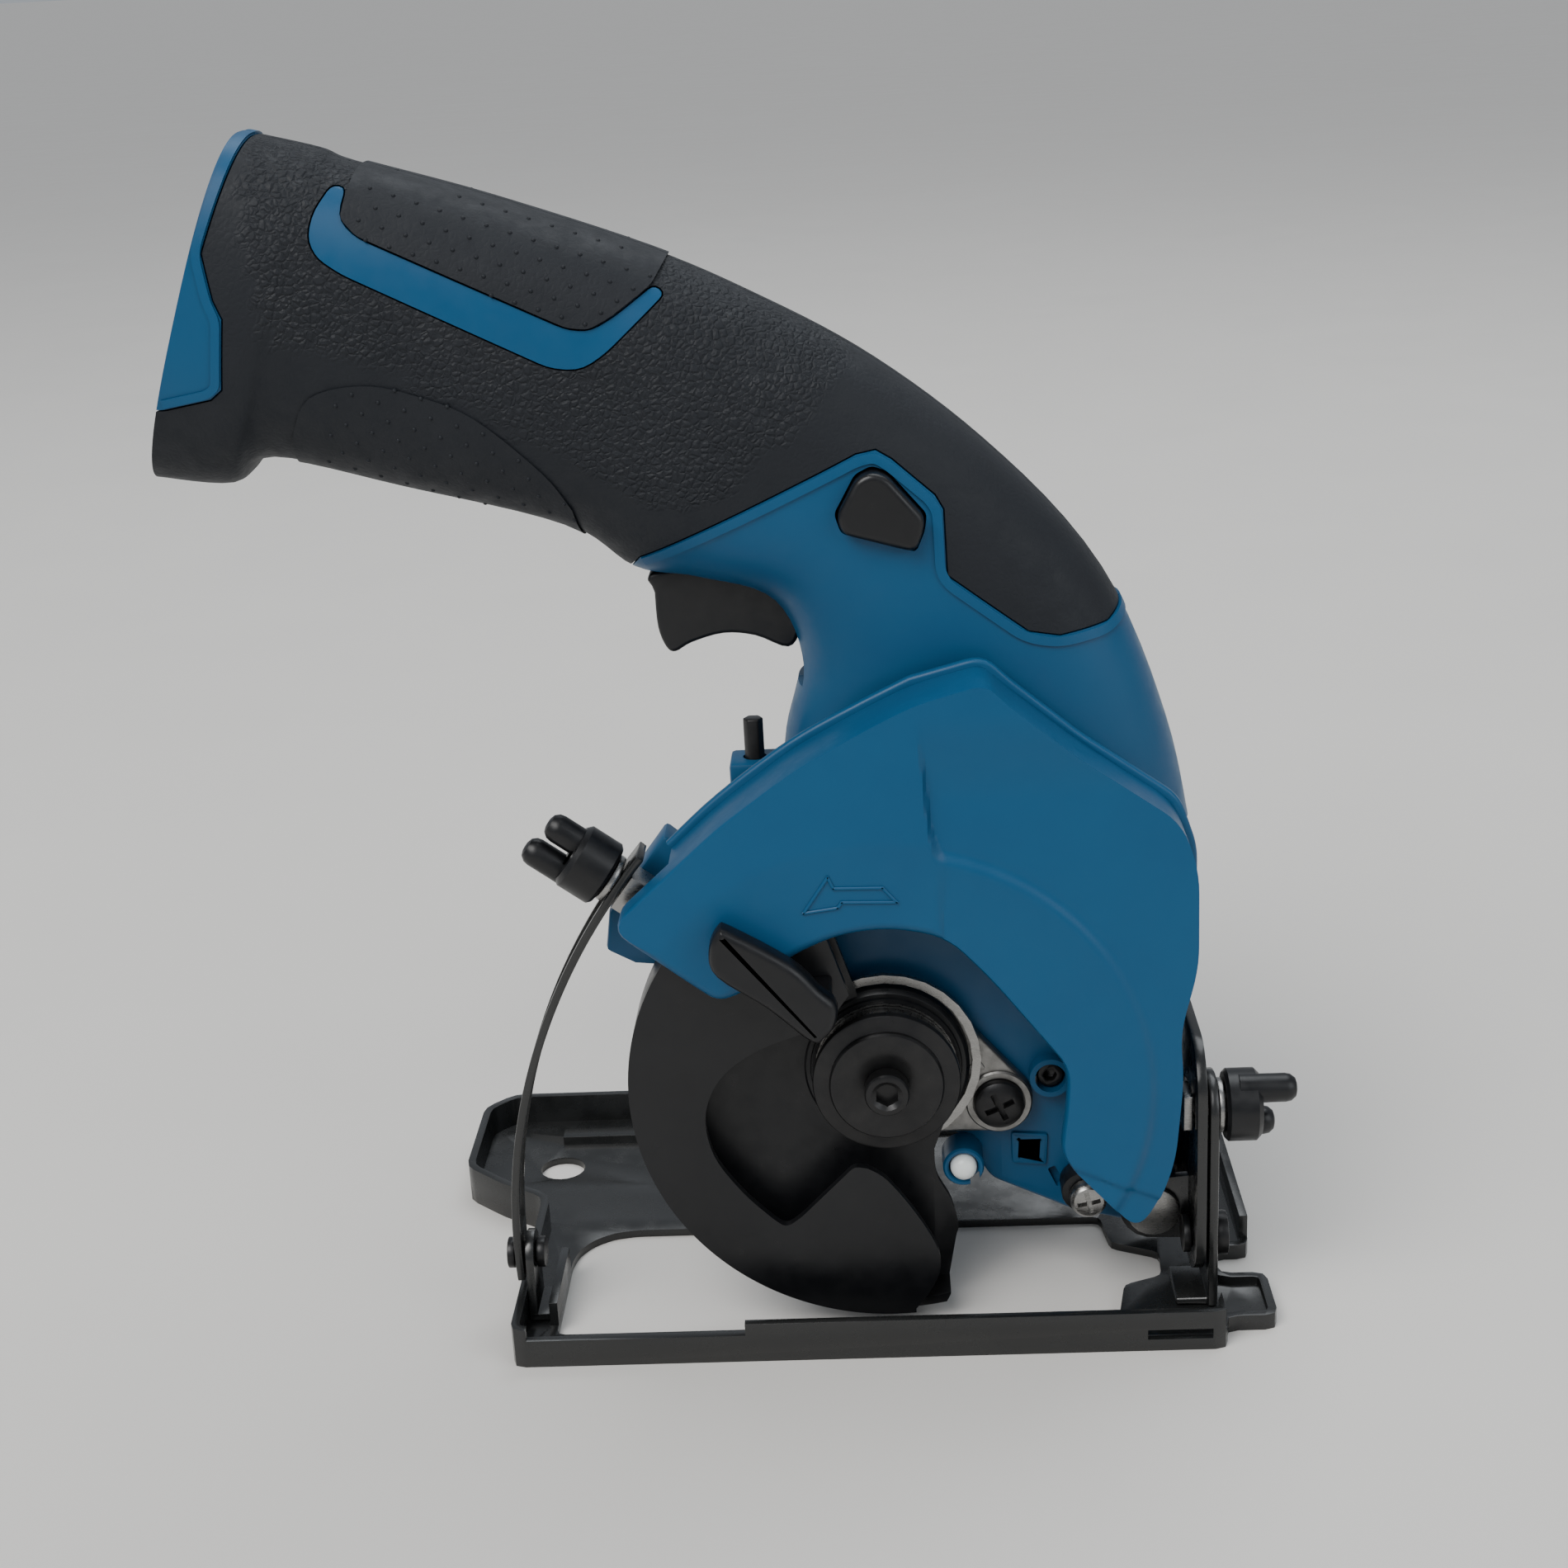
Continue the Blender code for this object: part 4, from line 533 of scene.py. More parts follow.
def winding_copper():
    look = Look("winding_copper", (0.72, 0.36, 0.18), 0.35, 1.0)
    look.mottle(2, 0.6, (0.45, 0.22, 0.12))
    look.gloss(1, 0.25, 0.5)
    look.raise_by(look.noise(0.4, 2, 0.5, (1, 6, 1)), 0.03)
    return look.done(0.6)


def milky_lens():
    look = Look("milky_lens", (0.80, 0.84, 0.82), 0.22)
    look.shader.inputs["Subsurface Weight"].default_value = 0.25
    look.shader.inputs["Subsurface Radius"].default_value = (0.0012, 0.0012, 0.001)
    look.mottle(2, 0.3, (0.68, 0.73, 0.72))
    look.raise_by(look.noise(0.8, 1), 0.01)
    return look.done(0.4)


def floor_paint():
    look = Look("floor_paint", (0.62, 0.60, 0.57), 0.6, specular=0.3)
    look.mottle(260, 0.25, (0.66, 0.645, 0.62))
    look.gloss(60, 0.5, 0.7)
    return look.done()


TEAL = teal_moulded()
GRIP = grip_elastomer()
BLACK = black_moulded()
PAINT = sheet_paint()
CAST = cast_metal()
BRIGHT = bright_metal()
DARK = black_oxide()
COPPER = winding_copper()
LENS = milky_lens()
SLOT_LOOKS = {
    "teal_plastic": TEAL,
    "black_elastomer": GRIP,
    "black_plastic": BLACK,
    "black_paint": PAINT,
    "cast_aluminium": CAST,
    "bright_steel": BRIGHT,
    "black_steel": DARK,
    "copper": COPPER,
    "white_lens": LENS,
}
NODE_SLOTS = {part["node"]: part["material_slot"] for part in frame["record"]["subparts"]}
NODE_BODIES = {
    node: body for body, nodes in frame["record"]["behaviour"]["bodies"].items() for node in nodes
}


def finish_frame_pieces():
    """Gives every frame piece its material."""
    for node, obj in frame["nodes"].items():
        obj.data.materials.clear()
        obj.data.materials.append(SLOT_LOOKS[NODE_SLOTS[node]])


def refine(node, width, segments=2, angle=30):
    """A frame piece with its edges rounded."""
    obj = soften(copy_of(node, node + "_rounded"), width, segments, angle)
    slot = NODE_SLOTS[node]
    return fit(obj, SLOT_LOOKS[slot], NODE_BODIES[node], slot, node)


# ---------------------------------------------------------------- handle and housing


HANDLE = [
    (-116.55, 193.1, 70.3, 31.55, 19.3),
    (-103.4, 190.6, 70.4, 30.6, 19.1),
    (-96.5, 191.5, 70.0, 27.0, 18.5),
    (-73.5, 184.9, 70.5, 26.4, 18.2),
    (-45.3, 175.6, 69.3, 25.4, 18.0),
    (-29.3, 166.5, 60.6, 26.6, 18.5),
    (-14.0, 159.6, 47.7, 25.2, 18.5),
    (2.3, 149.4, 34.0, 23.8, 18.5),
    (14.9, 131.2, 14.4, 29.0, 18.5),
    (19.0, 109.8, 0.4, 35.5, 18.5),
    (20.3, 94.0, -4.5, 38.4, 18.5),
]


def skin(name, grow=0.0, stretch=0.0, sides=80, steps=6, power=2.6):
    """The handle's rounded form, grown or shrunk, and run past its two ends by a stretch."""
    rows = flowing(HANDLE, steps)
    if stretch:
        x, z, lean, high, wide = HANDLE[0]
        rows.insert(0, (x - stretch * 0.94, z + stretch * 0.342, lean, high, wide))
        x, z, lean, high, wide = HANDLE[-1]
        rows.append((x, z - 2, lean, high, wide))
    shape = bmesh.new()
    rings = []
    for x, z, lean, high, wide in rows:
        up = (math.cos(math.radians(lean)), math.sin(math.radians(lean)))
        ring = []
        for i in range(sides):
            turn = 2 * math.pi * (i + 0.5) / sides
            c, s = math.cos(turn), math.sin(turn)
            a = math.copysign(abs(c) ** (2 / power), c) * (high + grow)
            b = math.copysign(abs(s) ** (2 / power), s) * (wide + grow)
            ring.append(shape.verts.new(spot(x + up[0] * a, MID_Y + b, z + up[1] * a)))
        rings.append(ring)
    for first, second in zip(rings, rings[1:]):
        for i in range(sides):
            j = (i + 1) % sides
            shape.faces.new((first[i], first[j], second[j], second[i]))
    shape.faces.new(rings[0])
    shape.faces.new(rings[-1])
    return solid(name, shape)


GRIP_EDGE = [(46.6, 133.9), (42.8, 131.5), (33.8, 130.5), (28.1, 131.8), (13.9, 142.8), (13.6, 154.5)]
GRIP_EDGE += [(12.2, 157.0), (4.9, 163.6), (2.2, 165.3), (-1.2, 164.8), (-40.3, 147.0)]
BAY_EDGE = [(-120.5, 178.0), (-112.1, 179.5), (-110.0, 181.1), (-108.3, 193.1), (-109.5, 196.3)]
BAY_EDGE += [(-110.6, 204.3), (-99.5, 232)]
PAD_EDGE = [(-86.3, 213.2), (-87.4, 208.6), (-84.6, 205.4), (-49.8, 188.4), (-45.9, 187.9)]
PAD_EDGE += [(-41.9, 189.8), (-34.8, 194.6)]
GRAIN_AREA = [(-104, 240), (-102, 190), (-84, 184), (-66, 175), (-50, 165), (-38, 157), (-28, 156)]
GRAIN_AREA += [(-12, 170), (8, 190), (8, 240)]


def grip_region():
    below = [(-46, 140), (-60, 140), (-140, 150), (-140, 178)]
    return GRIP_EDGE + below + BAY_EDGE + [(-40, 230), (60, 180), (60, 140)]


def accent_outline():
    """The U-shaped band of housing that shows through the grip."""
    outer = [(-88.5, 213.8), (-91.5, 209.6), (-92.4, 205.6), (-91.2, 202.6), (-87.6, 199.8)]
    outer += [(-52.9, 182.1), (-47.8, 181.6), (-43.6, 184.0), (-33.0, 193.2)]
    return rounded(outer + PAD_EDGE[::-1], 2.2, 3)


def lower_outline(hub_r, fine=4):
    outline = arc(PIVOT, 5.8, 235, 350, 6 * fine)
    outline += [(54.2, 26), (54.2, 50), (56.4, 62), (58.0, 88), (30, 98), (-10, 100)]
    outline += [(-17.5, 96), (-17, 84), (-15.5, 66)]
    outline += arc(ARBOR, hub_r, 165, 300, 10 * fine)
    outline += [(15.0, 31.0), (19.2, 22.9), (34.9, 15.3)]
    return outline


def trigger_room():
    room = [(-45, 120), (-9.0, 120), (-9.0, 141.5), (-17.5, 147.5), (-31.0, 152.5), (-42.2, 150.2)]
    return prism("trigger_room", room, 26.1, 39.9)


LOCK_OUTLINE = [(-5.0, 154.7), (-4.0, 151.5), (8.5, 147.8), (9.9, 151.0)]
LOCK_OUTLINE += [(10.4, 153.8), (4.1, 161.3), (1.4, 162.4), (-1.3, 161.2)]


def lock_room():
    return prism("lock_room", rounded(inset(LOCK_OUTLINE, -0.4), 1.0), -10, 80)


def half(side):
    low, high = {"right": (-10, MID_Y - SEAM), "left": (MID_Y + SEAM, 90)}[side]
    return box(f"half_{side}", (-150, low, 0), (90, high, 240))


def clamp_arm():
    """The housing's arm behind the depth guide, from its distances and directions about the depth pivot."""
    outer = GUIDE_R - 2.5
    steps = [(96, 138.5), (outer, 138.5), (outer, 147.5), (outer - 3, 151.0), (outer - 9, 151.0)]
    steps += [(80, 141.5), (80, 133.0)]
    return [polar(PIVOT, radius, degrees) for radius, degrees in steps]


def make_housing(side):
    hub_r = NEAR_HUB_R if side == "right" else FAR_HUB_R
    lower = rounded(lower_outline(hub_r), 1.8, 3)
    housing = pillow(f"housing_{side}_shell", lower, NEAR_Y, FAR_Y, 1.2)
    join(housing, skin("form"))
    if side == "left":
        far = BARREL_FAR_Y
        profile = [(0, MID_Y), (BARREL_R, MID_Y), (BARREL_R, far - 0.8), (BARREL_R - 0.8, far), (0, far)]
        barrel = turned("barrel", profile, MOTOR, sides=96)
        hub = bar("hub_rim", NEAR_HUB_R, ARBOR, MID_Y - 1, 35.8, sides=80)
        join(housing, barrel, hub)
    keep(housing, half(side))
    region = prism("region", grip_region(), -10, 80)
    shell = cut(region, skin("under_grip", -(SKIN_T + GAP), 12))
    inner = inset(lower_outline(hub_r, 1), WALL_T)
    room = prism("lower_room", inner, NEAR_Y + WALL_T, FAR_Y - WALL_T)
    cut(housing, skin("hollow", -(SKIN_T + WALL_T + GAP), 12), room, shell)
    notch = [(-140, 197.5), (-119.7, 196.2), (-119.4, 193.7), (-121.0, 181.5), (-140, 178.5)]
    cutters = [
        trigger_room(),
        lock_room(),
        prism("bay_notch", notch, -10, 80),
        bar("lug_bore", 3.4, PIVOT, 5, 60),
    ]
    if side == "left":
        cutters += [
            bar("barrel_room", 18.1, MOTOR, MID_Y - 1, 90),
            box("far_lug", (38, MID_Y - 1, 0), (70, 60, 33)),
            bar("lock_hole", 3.2, SPINDLE_LOCK, 40, 60),
        ]
        cutters += [bar("screw_hole", 1.5, at, 44, 56, sides=24) for at in CASE_SCREWS]
    else:
        arm = soften(prism("arm", clamp_arm(), NEAR_Y, NEAR_Y + 8), 0.8, 2)
        boss = bar("case_boss", 3.9, CASE_BOSS, 12.4, NEAR_Y + 1)
        nest = soften(box("key_nest", (-26.8, 21.2, 98), (-17.2, 30.4, 107)), 0.8, 2)
        frame_edge = rounded([(23.3, 33.0), (23.4, 26.3), (30.0, 25.7), (30.4, 32.4)], 0.7, 3)
        surround = pillow("window_frame", frame_edge, 14.6, NEAR_Y + 1, 0.4, 2)
        join(housing, arm, boss, nest, surround)
        window = inset(frame_edge, 1.5)
        slit = rounded([(30.2, 24.6), (32.0, 20.6), (33.4, 21.3), (31.6, 25.3)], 0.4, 3)
        cutters += [
            bar("boss_hole", 2.9, CASE_BOSS, 10, NEAR_Y + 8, sides=40),
            bar("spindle_hole", 11.9, ARBOR, NEAR_Y - 2, NEAR_Y + 3),
            bar("retainer_hole", 2.6, RETAINER_SCREW, 10, NEAR_Y + 4, sides=40),
            bar("lower_hole", 2.0, LOWER_SCREW, 10, NEAR_Y + 4, sides=40),
            bar("key_bore", 2.2, (-22.2, 25.8), 93, 112, "z", 40),
            prism("window", window, 10, NEAR_Y + 1.7),
            prism("slit", slit, 10, NEAR_Y + 1.7),
        ]
    cut(housing, *cutters)
    fit(tidy(housing, 0.3, 0.004), TEAL, "saw_body", "teal_plastic", f"housing_{side}", angle=28)


def within(point, outline):
    """Whether a side-view point is inside an outline."""
    x, z = point
    inside = False
    for i, (ax, az) in enumerate(outline):
        bx, bz = outline[i - 1]
        if (az > z) != (bz > z) and x < (bx - ax) * (z - az) / (bz - az) + ax:
            inside = not inside
    return inside


def grained(obj):
    """Marks how grained the grip is at each of its points."""
    values = []
    for vertex in obj.data.vertices:
        place = (vertex.co - SHIFT) / MM
        values.append(1.0 if within((place.x, place.z), GRAIN_AREA) else 0.12)
    attribute = obj.data.attributes.new("grain", "FLOAT", "POINT")
    attribute.data.foreach_set("value", values)


def patch(name, outline, low, high, side):
    """A piece of the handle's surface, raised from one growth to another, inside an outline."""
    sheet = cut(skin(name, high), skin("under", low, 12))
    keep(sheet, prism("patch_outline", outline, -10, 80), half(side))
    return sheet


def make_grip(side):
    grip = skin(f"grip_{side}_skin")
    cut(grip, skin("grip_inside", -SKIN_T, 12))
    keep(grip, prism("region", inset(grip_region()[::-1], GAP), -10, 80))
    gap = prism("accent_gap", inset(accent_outline(), -GAP), -10, 80)
    cut(grip, gap, trigger_room(), lock_room())
    keep(grip, half(side))
    grained(grip)
    fit(grip, GRIP, "saw_body", "black_elastomer", f"grip_{side}", angle=40)
    accent = skin(f"accent_{side}_band")
    cut(accent, skin("accent_inside", -SKIN_T, 12))
    keep(accent, prism("accent_outline", accent_outline(), -10, 80), half(side))
    fit(accent, TEAL, "saw_body", "teal_plastic", f"accent_{side}", angle=40)


def raised_details(side):
    """The pads that stand proud of the grip, and the beads on the housing round it."""
    pad_outline = PAD_EDGE + [(-31.8, 199.5), (-31.0, 206), (-83.0, 226), (-84.6, 219)]
    top = patch(f"top_pad_{side}", inset(rounded(pad_outline, 1.2), 0.45), -0.6, 0.55, side)
    low_edge = [(-99.5, 171.7), (-95.3, 178.7), (-85.9, 180.6), (-76.9, 178.6), (-66.8, 173.9)]
    low_edge = flowing(low_edge + [(-56, 163.5), (-51.7, 156.2)], 5)
    low = patch(f"low_pad_{side}", low_edge + [(-49.5, 140), (-104, 150)], -0.6, 0.4, side)
    for piece in (top, low):
        grained(piece)
        piece.data.attributes["grain"].data.foreach_set("value", [0.1] * len(piece.data.vertices))
        fit(piece, GRIP, "saw_body", "black_elastomer", angle=40)
    edge = rounded_path(GRIP_EDGE, 2.5)
    bead = patch(f"grip_bead_{side}", band(edge, 1.7, -1.9)[::-1], -1.0, 0.45, side)
    fit(bead, TEAL, "saw_body", "teal_plastic", angle=40)
    rim = rounded_path(BAY_EDGE, 2.0)
    rim_bead = patch(f"bay_bead_{side}", band(rim, 1.5, -1.7), -1.0, 0.4, side)
    fit(rim_bead, TEAL, "saw_body", "teal_plastic", angle=40)
    return top, low


def rounded_path(points, radius, steps=5):
    """An open path with its corners rounded."""
    closed = rounded(points, radius, steps)
    return [points[0]] + closed[steps + 1 : -(steps + 1)] + [points[-1]]


def dot_tree():
    """A node tree that puts a small dome at every point."""
    tree = bpy.data.node_groups.new("grip_dots", "GeometryNodeTree")
    tree.interface.new_socket("Geometry", in_out="INPUT", socket_type="NodeSocketGeometry")
    tree.interface.new_socket("Geometry", in_out="OUTPUT", socket_type="NodeSocketGeometry")
    size = tree.interface.new_socket("Radius", in_out="INPUT", socket_type="NodeSocketFloat")
    enter = tree.nodes.new("NodeGroupInput")
    leave = tree.nodes.new("NodeGroupOutput")
    ball = tree.nodes.new("GeometryNodeMeshIcoSphere")
    ball.inputs["Subdivisions"].default_value = 2
    put = tree.nodes.new("GeometryNodeInstanceOnPoints")
    real = tree.nodes.new("GeometryNodeRealizeInstances")
    paint = tree.nodes.new("GeometryNodeSetMaterial")
    paint.inputs["Material"].default_value = GRIP
    tree.links.new(enter.outputs["Radius"], ball.inputs["Radius"])
    tree.links.new(enter.outputs["Geometry"], put.inputs["Points"])
    tree.links.new(ball.outputs["Mesh"], put.inputs["Instance"])
    tree.links.new(put.outputs["Instances"], real.inputs["Geometry"])
    tree.links.new(real.outputs["Geometry"], paint.inputs["Geometry"])
    tree.links.new(paint.outputs["Geometry"], leave.inputs["Geometry"])
    return tree, size.identifier


def make_dots(name, pads, starts, tree, socket):
    """Small domes in a staggered lattice on the pads' outer faces."""
    points = []
    for pad in pads:
        for x, z in starts:
            for y, way in ((-10, 1), (90, -1)):
                hit, place, normal, _ = pad.ray_cast(spot(x, y, z), Vector((0, way, 0)))
                if hit and abs(normal.y) > 0.25 and normal.y * way < 0:
                    points.append(place - normal * 0.12 * MM)
    mesh = bpy.data.meshes.new(name)
    mesh.from_pydata(points, [], [])
    obj = bpy.data.objects.new(name, mesh)
    bpy.context.scene.collection.objects.link(obj)
    modifier = obj.modifiers.new("dots", "NODES")
    modifier.node_group = tree
    modifier[socket] = 0.42 * MM
    settle(obj)
    values = [0.0] * len(obj.data.vertices)
    obj.data.attributes.new("grain", "FLOAT", "POINT").data.foreach_set("value", values)
    return fit(obj, GRIP, "saw_body", "black_elastomer", angle=60)


def lattice(low, high, pitch):
    points = []
    row = 0
    z = low[1]
    while z < high[1]:
        x = low[0] + (pitch / 2 if row % 2 else 0)
        while x < high[0]:
            points.append((x + (z - low[1]) * 0.34, z - (x - low[0]) * 0.36))
            x += pitch
        z += pitch * 0.62
        row += 1
    return points


# ---------------------------------------------------------------- blade cover


COVER_RIM = [(-48.2, 85.8), (-38.5, 94.5), (-28.0, 104.0), (-14.5, 113.8), (-3.0, 120.0), (7.0, 124.8)]
COVER_RIM += [(19.5, 128.0), (23.2, 124.2), (36.0, 113.3), (53.2, 101.0), (56.2, 92.0), (56.2, 74.0)]
COVER_RIM += [(52.9, 61.5), (53.6, 52.5), (52.2, 36.0), (49.6, 28.0), (45.4, 21.5)]
COVER_MOUTH = [(33.5, 34.8), (31.3, 38.8), (32.6, 49.5), (32.7, 55.8), (19.1, 73.7), (11.5, 82.0)]
COVER_MOUTH += [(1.9, 84.2), (-7.2, 83.4), (-16.3, 79.4), (-25.0, 72.6), (-29.5, 71.0), (-34.5, 74.8)]
COVER_FACE = -5.5


def past(x, z, start, end):
    """How far a point is to the right of a line from start to end."""
    ahead = (Vector(end) - Vector(start)).normalized()
    off = Vector((x, z)) - Vector(start)
    return off.x * ahead.y - off.y * ahead.x


def ease(value):
    value = max(0.0, min(1.0, value))
    return value * value * (3 - 2 * value)


def cover_height(x, z):
    """The cover face's y at a side-view point: a rear field, and a front field behind a slanting facet."""
    reach = math.hypot(x - ARBOR[0], z - ARBOR[1])
    slope = 0.085 * max(0.0, reach - 50.0)
    off = -past(x, z, (7.0, 124.4), (10.2, 84.6))
    wide = 0.9 + 2.6 * ease((104.0 - z) / 10.0) - 2.4 * ease((97.0 - z) / 12.0)
    drop = 0.55 + 0.95 * ease((reach - 47.0) / 2.2)
    drop *= ease((123.0 - z) / 16.0)
    low = 0.5 * ease((past(x, z, (34.8, 34.7), (41.4, 31.6)) + 0.4) / 0.8) * ease(off / 20.0)
    return COVER_FACE + slope + drop * ease(off / wide) + low


def make_cover():
    rim = rounded(COVER_RIM + COVER_MOUTH, 4.2, 5)
    outline = rim[::-1]
    step = 0.6
    low = (-50.0, 18.0)
    columns = int(108 / step) + 1
    rows = int(112 / step) + 1
    shape = bmesh.new()
    grid = []
    for j in range(rows):
        line = []
        for i in range(columns):
            x = low[0] + i * step
            z = low[1] + j * step
            line.append(shape.verts.new(spot(x, cover_height(x, z), z)))
        grid.append(line)
    for j in range(rows - 1):
        for i in range(columns - 1):
            shape.faces.new((grid[j][i], grid[j][i + 1], grid[j + 1][i + 1], grid[j + 1][i]))
    border = grid[0] + [line[-1] for line in grid[1:]]
    border += grid[-1][-2::-1] + [line[0] for line in grid[-2:0:-1]]
    back = [shape.verts.new((v.co.x, spot(0, 11.5, 0).y, v.co.z)) for v in border]
    for i in range(len(border)):
        j = (i + 1) % len(border)
        shape.faces.new((border[j], border[i], back[i], back[j]))
    shape.faces.new(back)
    cover = solid("blade_cover_shell", shape)
    keep(cover, pillow("cover_outline", outline, COVER_FACE, 11.5, 1.7, 5))
    ring = COVER_RIM[::-1]
    inner = inset(ring + [(-20, 20)], 2.0)[: len(ring)]
    inner[0] = (inner[0][0] - 2, inner[0][1] - 6)
    inner[-1] = (inner[-1][0] - 8, inner[-1][1] - 7)
    room = prism("cover_room", inner + [(-62, 60), (-30, 20), (20, 10)], COVER_FACE + 3.4, 16)
    corners = ((-9, 5), (6, 5), (6, -5.2), (-9, -5.2))
    notch = [polar(PIVOT, GUIDE_R + off, CLAMP_ANGLE + turn) for off, turn in corners]
    cut(cover, room, prism("cover_notch", notch, 1.5, 16))
    fit(cover, TEAL, "saw_body", "teal_plastic", "blade_cover", angle=24)
    path = flowing([COVER_RIM[0]] + COVER_RIM[1:6], 5)[:-1] + rounded_path(COVER_RIM[5:13], 2.5)
    bead = soften(prism("cover_bead", band(path[::-1], 2.4, -1.1)[::-1], 9.3, 11.5), 0.7, 3, 40)
    cut(bead, prism("bead_notch", notch, 1.5, 16))
    fit(bead, TEAL, "saw_body", "teal_plastic")
    make_arrow()


def make_arrow():
    """A raised outline of an arrow, which shows the blade's turn."""
    keys = [(-13.4, 88.1), (-8.9, 94.7), (-8.0, 92.6), (0.6, 92.4), (3.0, 89.6), (-6.6, 89.9), (-7.4, 88.9)]
    shape = bmesh.new()
    count = len(keys)
    for i in range(count):
        a, b = Vector(keys[i]), Vector(keys[(i + 1) % count])
        ahead = (b - a).normalized()
        side = Vector((-ahead.y, ahead.x)) * 0.28
        start, end = a - ahead * 0.2, b + ahead * 0.2
        corners = [start - side, end - side, end + side, start + side]
        middle = (corners[0] + corners[2]) / 2
        rings = []
        for rise, pull in ((0.6, 0.0), (-0.22, 0.0), (-0.36, 0.55)):
            ring = []
            for corner in corners:
                way = 1 if (corner - middle).dot(side) < 0 else -1
                point = corner + side * way * pull
                reach = math.hypot(point.x - ARBOR[0], point.y - ARBOR[1])
                y = COVER_FACE + 0.075 * max(0.0, reach - 50.0) + rise
                ring.append(shape.verts.new(spot(point.x, y, point.y)))
            rings.append(ring)
        shape.faces.new(rings[0])
        shape.faces.new(rings[-1])
        for first, second in zip(rings, rings[1:]):
            for k in range(4):
                m = (k + 1) % 4
                shape.faces.new((first[k], first[m], second[m], second[k]))
    arrow = solid("turn_arrow", shape)
    fit(arrow, TEAL, "saw_body", "teal_plastic")


# ---------------------------------------------------------------- guard


def make_guard():
    back = arc(ARBOR, 47.5, -78, -252, 120)
    back += [polar(ARBOR, 15.0, 108), polar(ARBOR, 15.0, 60), polar(ARBOR, 15.0, 0)]
    back += flowing([(8.5, 33.0), (8.8, 27.5), (11.4, 22.0), (12.6, 16.5), (12.1, 13.8), (10.6, 5.5)], 4)
    guard = prism("lower_guard_shell", back, 0, 10.6)
    cut(guard, bar("guard_room", 45.7, ARBOR, 1.8, 9.2, sides=180))
    inner = [(-10.7, 63.3), (-22.2, 59.5), (-30.0, 54.0), (-33.5, 46.5), (-32.5, 37.9), (-27.6, 30.0)]
    inner = flowing(inner + [(-22.2, 24.2)], 5)
    lobe = [(-4.2, 34.2), (-0.6, 31.6), (4.5, 24.5), (8.2, 17.4), (8.8, 12.9), (7.2, 8.5), (4.0, 4.0)]
    lobe = flowing(lobe, 5)
    valley = rounded_path([inner[-1], (-19.8, 22.2), (-17.0, 24.2), (-6.6, 34.6), lobe[0]], 1.6)
    around = [(4.0, -10), (80, -10), (80, 130), polar(ARBOR, 70, 108), polar(ARBOR, 20, 108)]
    window = inner[:-1] + valley + lobe[1:] + around
    cut(guard, prism("guard_window", window, -3, 2.2))
    soften(guard, 0.55, 3, 40)
    cut(guard, bar("guard_bore", 12.1, ARBOR, 2, 20, sides=128))
    fit(guard, BLACK, "guard", "black_plastic", "lower_guard", angle=30)
    rings = [(12.1, 8.9), (13.0, 8.5), (14.0, 8.5), (14.2, 8.9), (14.9, 8.9), (15.2, 9.1)]
    hub = turned("guard_hub", rings + [(15.6, 9.5), (15.6, 12.0), (12.1, 12.0)], ARBOR, sides=128)
    fit(hub, BLACK, "guard", "black_plastic")
    lever = [(-28.4, 87.4), (-26.1, 87.0), (-15.7, 80.4), (-11.1, 75.4), (-8.3, 72.5), (-8.5, 68.8)]
    lever += [(-10.5, 66.2), (-13.0, 65.4), (-20.5, 72.2), (-29.0, 78.5), (-30.2, 83.4)]
    outline = flowing(lever, 4, closed=True)
    arm = pillow("guard_lever_arm", outline[::-1], -11.5, -6.3, 1.6, 5)
    foot = [(-16.6, 73.2), (-9.0, 73.6), (-9.2, 69.0), (-12.9, 66.2), (-18.6, 70.6)]
    join(arm, prism("lever_foot", rounded(foot, 1.0)[::-1], -7.5, -0.3))
    fit(arm, BLACK, "guard", "black_plastic", "guard_lever", angle=35)


# ---------------------------------------------------------------- spindle, retainer, screws


def recess(name, centre, y, size, depth, turn):
    """A cross recess as a cutter, opening towards low y."""
    bars = []
    for extra in (0, 90):
        outline = []
        for u, v in ((-size, -0.2 * size), (size, -0.2 * size), (size, 0.2 * size), (-size, 0.2 * size)):
            angle = math.radians(turn + extra)
            outline.append(
                (
                    centre[0] + u * math.cos(angle) - v * math.sin(angle),
                    centre[1] + u * math.sin(angle) + v * math.cos(angle),
                )
            )
        bars.append(prism(f"{name}_{extra}", outline, y - 3, y + depth))
    return join(bars[0], bars[1])


def make_spindle_end():
    profile = [(2.8, 1.3), (3.6, 1.25), (6.2, 0.72), (9.9, 0.6), (10.3, 0.7), (10.6, 1.1), (10.6, 2.05)]
    profile += [(10.9, 2.2), (13.1, 2.2), (13.5, 2.4), (13.7, 2.8), (13.7, 3.7), (13.5, 4.0), (2.8, 4.0)]
    disc = turned("outer_flange_disc", profile, ARBOR, sides=160)
    fit(disc, DARK, "spindle", "black_steel", "outer_flange")
    head = [(0, -3.2), (3.4, -3.2), (3.85, -3.05), (4.1, -2.7), (4.1, 0.2), (4.0, 0.4), (2.5, 0.4)]
    bolt = turned("blade_bolt_head", head + [(2.5, 7.5), (0, 7.5)], ARBOR, sides=96)
    socket = [polar(ARBOR, 2.3, 30 + 60 * i) for i in range(6)]
    dish = turned("socket_dish", [(0, -5), (2.9, -5), (2.9, -3.2), (2.1, -2.6), (0, -2.6)], ARBOR, sides=64)
    cut(bolt, prism("socket", socket, -6, -1.0), dish)
    fit(bolt, DARK, "spindle", "black_steel", "blade_bolt")


